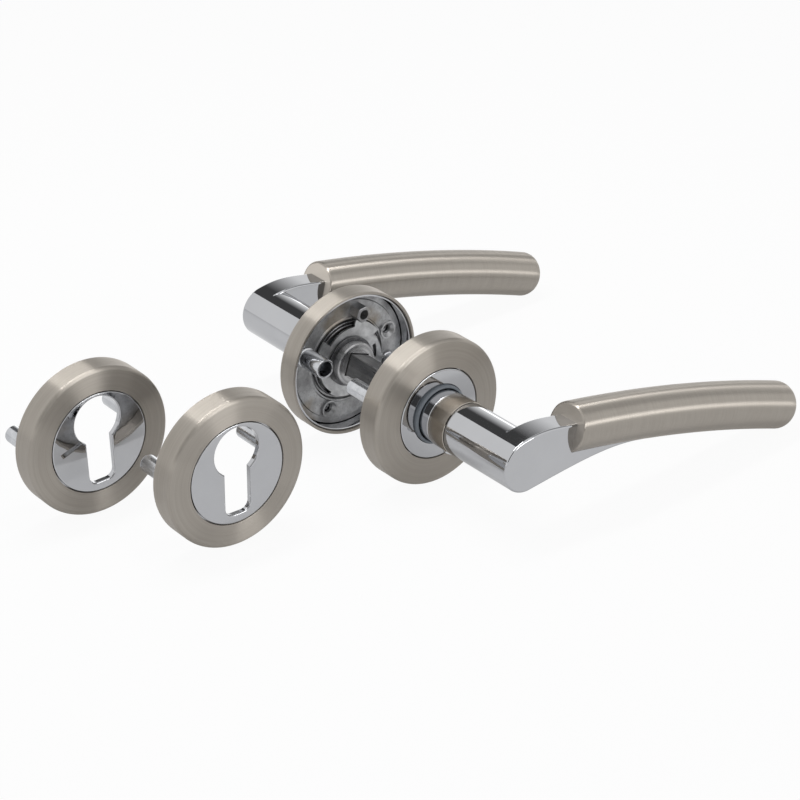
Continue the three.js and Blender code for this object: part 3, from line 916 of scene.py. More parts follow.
@dataclass
class RoseWorks:
    """What a rose holds: the casting, the posts and the sprung mechanism."""

    layout: Layout
    post: PostSize
    casting_radius: float = 24.55
    floor: float = 4.9
    plate: float = 1.4
    step_radius: float = 22.4
    step: float = 0.5
    well_radius: float = 15.3
    well_bottom: float = 5.6
    well_wall: float = 0.8
    well_rim: float = 0.4
    hub_hole: float = 10.9
    fixing_radius: float = 19.0
    spigot: float = 2.4
    post_hole: float = 1.6
    boss_radius: float = 3.3
    boss_proud: float = 0.9
    boss_angles: tuple[float, ...] = (38, -96)
    screw_hole: float = 1.6
    screw_head: float = 2.8
    lug_place: tuple[float, float] = (18.3, 96.0)
    lug_flats: float = 5.5
    lug_bore: float = 1.8
    drive_radius: float = 15.0
    drive_face: float = 3.2
    drive_thickness: float = 0.9
    drive_edge: tuple[Edge, ...] = (
        Edge(12, 52, 14.3, 12.8),
        Edge(98, 155, 12.6, 11.4),
        Edge(206, 250, 12.9, 12.7),
        Edge(250, 300, 13.6, 13.6),
    )
    drive_slot: Edge = Edge(9, 35, 10.6, 12.0)
    hub_radius: float = 8.0
    hub_flats: float = 14.8
    hub_face: float = -1.0
    stub_radius: float = 9.4
    stub_end: float = 14.7
    pocket_radius: float = 7.5
    pocket: float = 9.2
    square: float = 8.6
    clip_radius: float = 9.2
    clip_thickness: float = 0.8
    clip_groove: float = 0.8
    clip_turn: float = 300.0
    clip_gap: float = 40.0
    spring_wire: float = 0.9
    spring_radius: float = 14.5
    spring_turns: float = 1.6
    spring_pitch: float = 1.3
    bush_radius: float = 10.7
    bush_top: float = 10.7
    bush_flange: float = 2.6

    def casting(self, name: str) -> Blank:
        """Returns the zinc base with its well, bosses, lug and holes."""
        well = self.well_radius + self.well_wall
        back, bottom = self.floor + self.plate, self.well_bottom + self.well_wall
        rim = self.floor - self.well_rim
        disc = Blank.turned(
            name,
            [
                (self.hub_hole, self.well_bottom),
                (self.well_radius - 0.5, self.well_bottom),
                (self.well_radius, self.well_bottom - 0.5),
                (self.well_radius, rim + 0.15),
                (self.well_radius + 0.2, rim),
                (well - 0.2, rim),
                (well + 0.25, self.floor),
                (self.step_radius - 0.15, self.floor),
                (self.step_radius + 0.15, self.floor + self.step),
                (self.casting_radius, self.floor + self.step),
                (self.casting_radius, back),
                (well, back),
                (well, bottom),
                (self.hub_hole, bottom),
            ],
            128,
        )
        top = self.floor - self.boss_proud
        for degrees in self.boss_angles:
            at = polar(self.fixing_radius, degrees)
            disc.weld(Blank.rod("boss", self.boss_radius, top, back - 0.2, at, 48))
            disc.cut(Blank.rod("bore", self.screw_hole, top - 1, back + 1, at, 32))
            cone = Blank.turned(
                "head",
                [(0, top - 0.1), (self.screw_head, top - 0.1), (0, top + self.screw_head)],
                48,
            )
            bpy.ops.transform.translate(value=(*at, 0))
            disc.cut(cone)
        at = polar(*self.lug_place)
        corner = self.lug_flats / math.sqrt(3)
        lug = Blank.rod("lug", corner, 0, self.floor + 0.6, at, 6, 0)
        lug.cut(Blank.rod("well", self.well_radius, -1, self.floor + 1, (0, 0), 128))
        lug.soften(0.3, 3, 30)
        disc.weld(lug)
        disc.cut(Blank.rod("lug_bore", self.lug_bore, -1, self.floor, at, 32))
        gap = self.layout.gap
        for degrees in (0, 180):
            at = polar(self.fixing_radius, degrees)
            disc.cut(Blank.rod("spigot_hole", self.spigot + gap, -1, back + 1, at, 40))
            disc.cut(Blank.rod("post_seat", self.post.radius + gap, -1, self.floor, at, 40))
        return disc.soften(0.12, 2, 50)

    def fixing_post(self, name: str, degrees: float) -> Blank:
        """Returns one post, with the shoulder and ring where it meets the casting."""
        radius, bore, reach = self.post.radius, self.post.bore, self.post.reach
        foot, end = self.floor - self.layout.gap, self.floor + self.plate + 0.1
        groove = foot - 1.1
        profile = [
            (bore + 0.12, -reach),
            (radius - 0.5, -reach),
            (radius - 0.12, 0.2 - reach),
            (radius, 0.6 - reach),
            (radius, groove - 0.5),
            (radius - 0.35, groove - 0.25),
            (radius - 0.35, groove + 0.25),
            (radius, groove + 0.5),
            (radius, foot - 0.1),
            (radius - 0.1, foot),
            (self.spigot, foot),
            (self.spigot, end),
            (self.post_hole, end),
        ]
        if bore > self.post_hole:
            profile += [(self.post_hole, foot - 1), (bore, foot - 1)]
        profile.append((bore, 0.12 - reach))
        blank = Blank.turned(name, profile, 64)
        bpy.ops.mesh.select_all(action="SELECT")
        bpy.ops.transform.translate(value=(*polar(self.fixing_radius, degrees), 0))
        return blank

    def bush(self, name: str) -> Blank:
        """Returns the grey bush that the lever's stub turns in."""
        gap = self.layout.gap
        bore = self.stub_radius + gap
        seat = self.well_bottom + self.well_wall + gap
        flange = self.bush_radius + self.bush_flange
        barrel = self.hub_hole - gap
        high = 8.4
        top = self.bush_top
        return Blank.turned(
            name,
            [
                (bore, self.well_bottom + gap),
                (barrel, self.well_bottom + gap),
                (barrel, seat),
                (flange, seat),
                (flange, high),
                (self.bush_radius, high),
                (self.bush_radius, top - 0.8),
                *arc((self.bush_radius - 0.8, top - 0.8), 0.8, 0, 90, 5)[1:],
                (bore + 0.2, top),
                (bore, top - 0.2),
            ],
            128,
        )

    def follower(self, name: str) -> Blank:
        """Returns the turned follower with its square hole, groove and stub."""
        high = self.drive_face - self.layout.gap
        low = high - self.clip_thickness
        half = self.layout.gap / 2
        root = self.hub_radius - self.clip_groove
        shoulder = self.well_bottom + self.layout.gap
        body = Blank.turned(
            name,
            [
                (0, self.hub_face),
                (self.hub_radius - 0.4, self.hub_face),
                (self.hub_radius, self.hub_face + 0.4),
                (self.hub_radius, low - half),
                (root, low - half),
                (root, high + half),
                (self.hub_radius, high + half),
                (self.hub_radius, shoulder),
                (self.stub_radius, shoulder),
                (self.stub_radius, self.stub_end - 0.5),
                *arc((self.stub_radius - 0.5, self.stub_end - 0.5), 0.5, 0, 90, 4)[1:],
                (self.pocket_radius, self.stub_end),
                (self.pocket_radius, self.pocket),
                (0, self.pocket),
            ],
            128,
        )
        reach = self.square / 2
        square = [(reach, reach), (-reach, reach), (-reach, -reach), (reach, -reach)]
        hole = Blank.plate("square_hole", square, 2 * self.hub_face, self.pocket + 1)
        return body.cut(hole)

    def drive_plate(self, name: str) -> Blank:
        """Returns the pressed plate, with its windows, slot and hole with two flats."""
        outline: list[Point2] = []
        full = self.drive_edge[-1].end - 360
        for edge in self.drive_edge:
            if edge.start > full:
                outline += arc((0, 0), self.drive_radius, full, edge.start, 24)
            for share in (i / 16 for i in range(17)):
                radius = edge.first + (edge.last - edge.first) * share
                outline.append(polar(radius, edge.start + (edge.end - edge.start) * share))
            full = edge.end
        high = self.drive_face + self.drive_thickness
        plate = Blank.plate(name, outline, self.drive_face, high)
        cut = self.drive_slot
        slot = arc((0, 0), cut.last, cut.start, cut.end, 20)
        slot += arc((0, 0), cut.first, cut.end, cut.start, 20)
        plate.cut(Blank.plate("slot", slot, self.drive_face - 1, high + 1))
        hole, flat = self.hub_radius + self.layout.gap, self.hub_flats / 2 + self.layout.gap
        limit = math.degrees(math.acos(flat / hole))
        inner = arc((0, 0), hole, limit, 180 - limit, 24)
        inner += arc((0, 0), hole, 180 + limit, 360 - limit, 24)
        plate.cut(Blank.plate("hub_hole", inner, self.drive_face - 1, high + 1))
        return plate.soften(0.15, 3, 40)

    def circlip(self, name: str) -> Blank:
        """Returns the open retaining ring."""
        half = self.clip_gap / 2
        high = self.drive_face - self.layout.gap
        low = high - self.clip_thickness
        inner = self.hub_radius - self.clip_groove + self.layout.gap
        outline = arc((0, 0), self.clip_radius, half, 360 - half, 72)
        outline += arc((0, 0), inner, 360 - half, half, 60)
        ring = Blank.plate(name, outline, low, high)
        ring.soften(0.1, 2, 50).edit()
        bpy.ops.transform.rotate(
            value=-math.radians(self.clip_turn), orient_axis="Z", center_override=(0, 0, 0)
        )
        return ring

    def spring(self, name: str) -> Blank:
        """Returns the flat coil of wire that brings the lever back."""
        height = (self.drive_face + self.drive_thickness + self.well_bottom) / 2
        steps = 150
        points = []
        for i in range(steps + 1):
            turn = self.spring_turns * i / steps
            radius = self.spring_radius - self.spring_pitch * turn
            points.append((*polar(radius, 40 + 360 * turn), height))
        blank = Blank.chain(name, points)
        blank.clear_bench()
        blank.piece.select_set(True)
        bpy.context.view_layer.objects.active = blank.piece
        bpy.ops.object.convert(target="CURVE")
        blank.piece = bpy.context.object
        blank.piece.data.bevel_depth = self.spring_wire / 2
        blank.piece.data.bevel_resolution = 4
        blank.piece.data.use_fill_caps = True
        bpy.ops.object.convert(target="MESH")
        blank.piece = bpy.context.object
        return blank

    def build(self, side: Side, paints: Paints) -> None:
        """Makes and dresses everything inside one rose."""
        placement = self.layout.handle(side)
        label = side.value
        pieces: list[tuple[str, Callable[[str], Blank], bpy.types.Material, Slot, Body]] = [
            ("rose_base", self.casting, paints.zinc, Slot.ZINC, Body.ROSES),
            ("neck_bush", self.bush, paints.nylon, Slot.NYLON, Body.ROSES),
            ("return_spring", self.spring, paints.spring, Slot.DARK, Body.ROSES),
            ("drive_plate", self.drive_plate, paints.pressed, Slot.PLATED, Body.LEVERS),
            ("circlip", self.circlip, paints.spring, Slot.DARK, Body.LEVERS),
            ("follower", self.follower, paints.hub, Slot.CHROME, Body.LEVERS),
            (
                "post_right",
                lambda name: self.fixing_post(name, 0),
                paints.plated,
                Slot.PLATED,
                Body.ROSES,
            ),
            (
                "post_left",
                lambda name: self.fixing_post(name, 180),
                paints.plated,
                Slot.PLATED,
                Body.ROSES,
            ),
        ]
        for part, make, paint, slot, body in pieces:
            node = f"{label}_{part}"
            piece = make(f"{node}_made").place(placement)
            dress(piece, paint, slot, body, node)


# ------------------------------------------------------------------ lever
@dataclass
class Lever:
    """One lever: the chrome neck and arm, the satin collar and the satin grip."""

    layout: Layout
    neck_radius: float = 9.6
    neck_core: float = 8.5
    neck_facets: int = 144
    collar_start: float = 15.0
    collar_length: float = 8.1
    spigot_radius: float = 7.2
    spigot_start: float = 9.5
    stub_end: float = 14.7
    grub_radius: float = 2.3
    arm_face: float = 55.2
    arm_thickness: float = 9.4
    arm_edge: float = 0.8
    leave_top: float = 122.0
    leave_bottom: float = -63.0
    tongue_top: float = 3.0
    tongue_length: float = 33.0
    tongue_drop: float = 7.6
    grip_radius: float = 8.6
    grip_start: Point2 = (17.7, 12.05)
    grip_angle: float = 10.7
    grip_bend: float = 566.0
    grip_length: float = 108.5
    grip_lean: float = -7.5
    grip_round: float = 5.6
    grip_steps: int = 44
    grip_chamfer: float = 0.7
    slot_gap: float = 0.5
    spindle_socket: float = 8.6
    spindle_depth: float = 25.6

    def bend_centre(self) -> Vector:
        """Returns the centre that the grip bends about, in the drawing."""
        angle = math.radians(self.grip_angle)
        x = self.grip_start[0] + self.grip_bend * math.sin(angle)
        y = self.grip_start[1] - self.grip_bend * math.cos(angle)
        return Vector((x, y))

    def on_grip(self, length: float, above: float = 0.0) -> Vector:
        """Returns a point at a length along the grip's centre line, and above it."""
        now = math.radians(self.grip_angle) - length / self.grip_bend
        reach = self.grip_bend + above
        return self.bend_centre() + Vector((-reach * math.sin(now), reach * math.cos(now)))

    def grip_direction(self, length: float) -> Vector:
        """Returns the grip's direction at a length along it."""
        angle = math.radians(self.grip_angle) - length / self.grip_bend
        return Vector((math.cos(angle), math.sin(angle)))

    def grip_height(self) -> float:
        """Returns the height of the grip's centre line above the door."""
        return self.arm_face - self.arm_thickness / 2

    def arm_curve(self) -> list[Point2]:
        """Returns the arm's edge from where it leaves the neck's top to where it comes back."""
        start = Vector(polar(self.neck_radius, self.leave_top))
        start_way = Vector(polar(1, self.leave_top - 90))
        finish = Vector(polar(self.neck_radius, self.leave_bottom))
        finish_way = Vector(polar(1, self.leave_bottom + 90))
        crest = self.on_grip(0, self.tongue_top)
        tip = self.on_grip(self.tongue_length, -self.tongue_drop)
        points = [tuple(start)]
        points += bezier(
            [start, start + start_way * 10, crest - self.grip_direction(0) * 8, crest], 26
        )
        for i in range(1, 5):
            points.append(tuple(self.on_grip(i * self.tongue_length / 4, self.tongue_top)))
        points.append(tuple(tip))
        lift = tip - self.grip_direction(self.tongue_length) * 15
        points += bezier([tip, lift, finish + finish_way * 22, finish], 40)
        return points

    def neck(self, name: str) -> Blank:
        """Returns the turned neck, open where the arm's plate starts."""
        shoulder = self.collar_start + self.collar_length + self.layout.gap
        join = self.stub_end + self.layout.gap
        blank = Blank.turned(
            name,
            [
                (0, self.spigot_start),
                (self.spigot_radius, self.spigot_start),
                (self.spigot_radius, join),
                (self.neck_core, join),
                (self.neck_core, shoulder),
                (self.neck_radius - 0.35, shoulder),
                (self.neck_radius - 0.1, shoulder + 0.1),
                (self.neck_radius, shoulder + 0.35),
                (self.neck_radius, self.arm_face - self.arm_thickness),
            ],
            self.neck_facets,
            self.leave_top,
        )
        return blank

    def arm(self, name: str) -> Blank:
        """Returns the neck with the arm's plate grown from it as one closed solid."""
        blank = self.neck(name)
        level = self.arm_face - self.arm_thickness
        plate = Blank.chain("plate_edge", [(x, y, level) for x, y in self.arm_curve()])
        plate.clear_bench()
        bpy.context.view_layer.objects.active = blank.piece
        blank.piece.select_set(True)
        plate.piece.select_set(True)
        bpy.ops.object.join()
        blank.edit()
        bpy.ops.mesh.remove_doubles(threshold=0.002)

        def on_level(a: Vector, b: Vector) -> bool:
            return abs(a.z - level) < 1e-3 and abs(b.z - level) < 1e-3

        def beside_neck(a: Vector, b: Vector) -> bool:
            middle = math.degrees(math.atan2(a.y + b.y, a.x + b.x))
            return self.leave_bottom < middle < self.leave_top

        def on_neck(a: Vector, b: Vector) -> bool:
            limit = self.neck_radius + 1e-3
            return a.xy.length < limit and b.xy.length < limit

        def is_edge_of_plate(a: Vector, b: Vector) -> bool:
            return on_level(a, b) and not (on_neck(a, b) and beside_neck(a, b))

        def is_underside(a: Vector, b: Vector) -> bool:
            return on_level(a, b) and (not on_neck(a, b) or beside_neck(a, b))

        blank.choose_edges(is_underside)
        bpy.ops.mesh.edge_face_add()
        blank.choose_edges(is_edge_of_plate)
        bpy.ops.mesh.extrude_region_move(
            TRANSFORM_OT_translate={"value": (0, 0, self.arm_thickness)}
        )
        bpy.ops.mesh.edge_face_add()
        blank.clean()
        top = self.arm_face - 1e-3

        def is_rim(a: Vector, b: Vector) -> bool:
            if min(a.z, b.z) > top:
                return True
            return on_level(a, b) and not on_neck(a, b)

        blank.round_edges(is_rim, self.arm_edge, 6)
        reach = self.spindle_socket / 2
        square = [(reach, reach), (-reach, reach), (-reach, -reach), (reach, -reach)]
        blank.cut(
            Blank.plate("socket", square, self.spigot_start - 1, self.spindle_depth),
            self.grub_tool("grub_hole", self.grub_radius + self.layout.gap, 0, 20),
        )
        return blank

    def grub_tool(
        self, name: str, radius: float, low: float, high: float, facets: int = 40
    ) -> Blank:
        """Returns a rod that points down out of the neck at the grub screw's place.

        Args:
            name: The rod's name.
            radius: Its radius.
            low: Where it starts, from the neck's axis.
            high: Where it ends.
            facets: Its number of sides.
        """
        rod = Blank.rod(name, radius, low, high, facets=facets).edit()
        bpy.ops.transform.rotate(
            value=-math.pi / 2, orient_axis="X", center_override=(0, 0, 0)
        )
        mesh = bmesh.from_edit_mesh(rod.piece.data)
        upside = sum(v.co.y for v in mesh.verts) > 0
        if upside:
            bpy.ops.transform.rotate(
                value=math.pi, orient_axis="X", center_override=(0, 0, 0)
            )
        bpy.ops.transform.translate(
            value=(0, 0, self.collar_start + self.collar_length / 2)
        )
        rod.clear_bench()
        return rod

    def collar(self, name: str) -> Blank:
        """Returns the satin sleeve on the neck."""
        inner, outer = self.neck_core + self.layout.gap, self.neck_radius + 0.1
        low, high = self.collar_start, self.collar_start + self.collar_length
        blank = Blank.turned(
            name,
            [
                (inner, low + 0.1),
                (inner + 0.1, low),
                (outer - 0.3, low),
                (outer - 0.08, low + 0.08),
                (outer, low + 0.3),
                (outer, high - 0.2),
                (outer - 0.2, high),
                (inner, high),
            ],
            144,
        )
        return blank.cut(self.grub_tool("hole", self.grub_radius + self.layout.gap, 0, 20))

    def grub_screw(self, name: str) -> Blank:
        """Returns the socket-headed screw that bears on the spindle."""
        head = self.neck_radius + 0.6
        screw = self.grub_tool(name, self.grub_radius, 4.6, head)
        screw.cut(self.grub_tool("key", 1.3, head - 1.8, head + 1, 6))
        return screw.soften(0.2, 3, 40)

    def grip(self, name: str) -> Blank:
        """Returns the bent round bar with its rounded end and the slot for the arm."""
        Blank.clear_bench()
        start = self.on_grip(0)
        angle = math.radians(self.grip_angle)
        bpy.ops.mesh.primitive_circle_add(
            vertices=96, radius=self.grip_radius, fill_type="NGON",
            location=(start.x, start.y, self.grip_height()),
            rotation=(0, math.pi / 2, angle),
        )
        blank = Blank(bpy.context.object)
        blank.piece.name = blank.piece.data.name = name
        bpy.ops.object.transform_apply(location=True, rotation=True, scale=True)
        blank.edit()
        centre = self.bend_centre()
        bpy.ops.mesh.spin(
            steps=self.grip_steps, angle=self.grip_length / self.grip_bend,
            center=(centre.x, centre.y, 0), axis=(0, 0, 1),
        )
        blank.clean()
        self._cap(blank, 0)
        self._cap(blank, self.grip_length)
        self._clear_end(blank)
        self._lean(blank)
        blank.round_edges(self._ring_test(self.grip_length), self.grip_round, 14)
        blank.round_edges(self._lean_test(), self.grip_chamfer, 4)
        blank.cut(self._slot())
        return blank.soften(0.12, 2, 50)

    def _ring_test(self, length: float) -> EdgeTest:
        """Returns a test for the edges of the bar's ring at a length along it."""
        middle = self.on_grip(length)
        way = self.grip_direction(length)

        def test(a: Vector, b: Vector) -> bool:
            return all(abs((p.xy - middle).dot(way)) < 0.01 for p in (a, b))

        return test

    def _lean_test(self) -> EdgeTest:
        """Returns a test for the edges of the bar's leaning end."""
        middle = self.on_grip(0)
        way = Vector(polar(1, self.grip_angle + self.grip_lean))

        def test(a: Vector, b: Vector) -> bool:
            return all(abs((p.xy - middle).dot(way)) < 0.02 for p in (a, b))

        return test

    def _cap(self, blank: Blank, length: float) -> None:
        """Closes the bar at one end where it is open."""
        mesh = bmesh.from_edit_mesh(blank.piece.data)
        middle, way = self.on_grip(length), self.grip_direction(length)
        closed = any(
            len(f.verts) > 8 and abs((f.calc_center_median().xy - middle).dot(way)) < 0.5
            for f in mesh.faces
        )
        if not closed:
            blank.choose_edges(self._ring_test(length))
            bpy.ops.mesh.edge_face_add()

    def _clear_end(self, blank: Blank) -> None:
        """Takes away the rings that the far end's rounding would run over."""
        for i in range(1, self.grip_steps):
            length = self.grip_length * i / self.grip_steps
            if length > self.grip_length - self.grip_round - 0.5:
                blank.choose_edges(self._ring_test(length))
                bpy.ops.mesh.dissolve_edges(use_verts=True)

    def _lean(self, blank: Blank) -> None:
        """Leans the bar's end at the arm from square."""
        middle, way = self.on_grip(0), self.grip_direction(0)
        tilt = math.tan(math.radians(self.grip_lean))
        mesh = bmesh.from_edit_mesh(blank.piece.data)
        for vertex in mesh.verts:
            offset = vertex.co.xy - middle
            along = offset.dot(way)
            if along < 2 * self.grip_radius:
                side = Vector((-way.y, way.x)).dot(offset)
                share = 1 - max(0.0, along) / (2 * self.grip_radius)
                vertex.co.xy -= way * side * tilt * share
        bmesh.update_edit_mesh(blank.piece.data)

    def _slot(self) -> Blank:
        """Returns the tool for the channel that takes the arm's tongue."""
        gap = self.slot_gap
        top = [
            tuple(self.on_grip(i * (self.tongue_length + gap) / 6, self.tongue_top + gap))
            for i in range(7)
        ]
        first = tuple(self.on_grip(-3, self.tongue_top + gap))
        below = [
            tuple(self.on_grip(length, -2 * self.grip_radius))
            for length in (self.tongue_length + gap, -3)
        ]
        low, high = self.arm_face - self.arm_thickness - gap, self.arm_face + gap
        return Blank.plate("slot", [first, *top, *below], low, high)

    def build(self, side: Side, paints: Paints) -> None:
        """Makes and dresses one lever."""
        placement = self.layout.handle(side)
        label = side.value
        for part, make, paint, slot in (
            ("lever_arm", self.arm, paints.chrome, Slot.CHROME),
            ("neck_collar", self.collar, paints.collar, Slot.NICKEL),
            ("grub_screw", self.grub_screw, paints.plated, Slot.PLATED),
            ("lever_grip", self.grip, paints.grip[side], Slot.NICKEL),
        ):
            node = f"{label}_{part}"
            piece = make(f"{node}_made").place(placement)
            dress(piece, paint, slot, Body.LEVERS, node)


# ------------------------------------------------------------------ spindle
@dataclass
class Spindle:
    """The square bar that joins both levers."""

    layout: Layout
    side: float = 8.0
    reach: float = 43.75
    chamfer: float = 0.6

    def build(self, paints: Paints) -> None:
        """Makes and dresses the spindle."""
        half = self.side / 2
        square = [(half, half), (-half, half), (-half, -half), (half, -half)]
        blank = Blank.plate("spindle_bar", square, -self.reach, self.reach)
        blank.round_edges(lambda a, b: abs(a.z - b.z) > 1, self.chamfer, 3)
        blank.round_edges(lambda a, b: abs(a.z - b.z) < 1e-3, 0.4, 2)
        turn = Matrix.Rotation(math.radians(self.layout.handle_turn), 4, "Z")
        piece = blank.place(self.layout.upright() @ turn)
        dress(piece, paints.spindle, Slot.DARK, Body.LEVERS, "spindle")


# ------------------------------------------------------------------ escutcheons
@dataclass
class Escutcheon:
    """A round keyhole plate: satin cover, polished insert, casting and two posts."""

    layout: Layout
    name: str
    centre: Point2
    back: float
    turn: float
    radius: float = 26.75
    depth: float = 8.9
    rise: float = 0.1
    edge_round: float = 1.4
    wall: float = 1.0
    insert_radius: float = 18.0
    key_plate: float = 2.0
    key_round: float = 8.75
    key_height: float = 8.1
    key_slot: float = 9.9
    key_bottom: float = -14.9
    key_corner: float = 3.0
    base_margin: float = 2.0
    base_floor: float = 4.9
    base_wall: float = 1.4
    post: PostSize = field(default_factory=lambda: PostSize(3.1, 1.6, 15))

    def keyhole(self, margin: float, steps: int = 48) -> list[Point2]:
        """Returns the outline of the lock cylinder's hole, grown by a margin."""
        half = self.key_slot / 2 + margin
        round_part = self.key_round + margin
        bottom = self.key_bottom - margin
        meet = math.degrees(math.asin(half / round_part))
        corner = self.key_corner
        outline = arc((0, self.key_height), round_part, meet - 90, 270 - meet, steps)
        outline += arc((corner - half, bottom + corner), corner, 180, 270, 10)
        outline += arc((half - corner, bottom + corner), corner, 270, 360, 10)
        return outline

    def cover(self, name: str) -> Blank:
        """Returns the satin cover."""
        shells = RoseShells(
            self.layout, depth=self.depth, rise=self.rise,
            opening=self.insert_radius + self.layout.gap,
        )
        return Blank.turned(name, shells.cover_profile(), 160)

    def insert(self, name: str) -> Blank:
        """Returns the polished disc with the keyhole, whose edges are rounded."""
        face = self.depth + self.rise
        under = face - self.wall - self.layout.gap
        edge = self.insert_radius - 0.4
        disc = Blank.turned(
            name,
            [
                (0, face - self.key_plate),
                (self.insert_radius + 1.6, face - self.key_plate),
                (self.insert_radius + 1.6, under),
                (self.insert_radius, under),
                (self.insert_radius, face - 0.4),
                *arc((edge, face - 0.4), 0.4, 0, 90, 5)[1:],
                (0, face),
            ],
            160,
        )
        low = face - self.key_plate
        disc.cut(Blank.plate("keyhole", self.keyhole(0), low - 1, face + 1))
        limit = self.insert_radius - 1

        def is_lip(a: Vector, b: Vector) -> bool:
            flat = abs(a.z - face) < 1e-3 and abs(b.z - face) < 1e-3
            inside = a.xy.length < limit and b.xy.length < limit
            return flat and inside and self._on_outline(a) and self._on_outline(b)

        disc.round_edges(is_lip, 0.5, 5)
        disc.choose_faces(lambda f: f.normal.z > 0.999 and f.calc_area() > 1)
        bpy.ops.mesh.delete(type="ONLY_FACE")
        disc.choose_wire()
        bpy.ops.mesh.delete(type="EDGE")
        disc.choose_open()
        bpy.ops.mesh.fill(use_beauty=True)
        return disc.clean()

    def _on_outline(self, point: Vector) -> bool:
        """Says whether a point lies on the keyhole's outline."""
        above = (point.xy - Vector((0, self.key_height))).length
        if abs(above - self.key_round) < 0.05:
            return True
        half = self.key_slot / 2
        inside_round = above < self.key_round - 0.05
        return not inside_round and abs(point.x) < half + 0.05 and point.y < self.key_height

    def base(self, name: str) -> Blank:
        """Returns the casting behind the insert."""
        outer = self.radius - self.wall - self.layout.gap
        floor = self.base_floor + self.base_wall
        top = self.depth + self.rise - self.key_plate - self.layout.gap
        casting = Blank.rod(name, outer, self.base_floor, floor, facets=128)
        wall = self.keyhole(self.base_margin + self.base_wall)
        casting.weld(Blank.plate("wall", wall, self.base_floor + 0.2, top))
        hole = self.keyhole(self.base_margin)
        casting.cut(Blank.plate("hole", hole, -1, self.depth))
        gap = self.layout.gap
        for degrees in (0, 180):
            at = polar(19.0, degrees)
            casting.cut(Blank.rod("spigot_hole", 2.4 + gap, -1, floor + 1, at, 40))
        return casting.soften(0.12, 2, 50)

    def build(self, paints: Paints) -> None:
        """Makes and dresses the whole escutcheon."""
        placement = self.layout.plate(self.centre, self.back, self.turn)
        works = RoseWorks(self.layout, self.post)
        satin = paints.plate[self.name]
        for part, make, paint, slot in (
            ("cover", self.cover, satin, Slot.NICKEL),
            ("key_insert", self.insert, paints.chrome, Slot.CHROME),
            ("base", self.base, paints.zinc, Slot.ZINC),
            ("post_right", lambda n: works.fixing_post(n, 0), paints.plated, Slot.PLATED),
            ("post_left", lambda n: works.fixing_post(n, 180), paints.plated, Slot.PLATED),
        ):
            node = f"{self.name}_{part}"
            piece = make(f"{node}_made").place(placement)
            dress(piece, paint, slot, Body.ROSES, node)


# ------------------------------------------------------------------ studio
@dataclass(frozen=True)
class SoftBox:
    """A lamp that hangs at an angle round the spindle's axis, which is the world's Y."""

    name: str
    angle: float  # degrees up from the world's X
    along: float  # metres along the axis
    size: tuple[float, float]
    glow: float  # where 1 is as bright as the surround
    radius: float = 1.0
    aim: float = 0.0  # the point of the axis that it faces
    spin: float = 0.0  # degrees about its own axis


@dataclass(frozen=True)
class DarkCard:
    """A card curved round the spindle's axis."""

    name: str
    start: float  # degrees up from the world's X
    end: float
    near: float  # metres along the axis
    far: float
    radius: float = 1.0
    shade: float = 0.03  # where 1 is as bright as the surround
    fade: float = 6.0  # degrees over which it fades in from its start


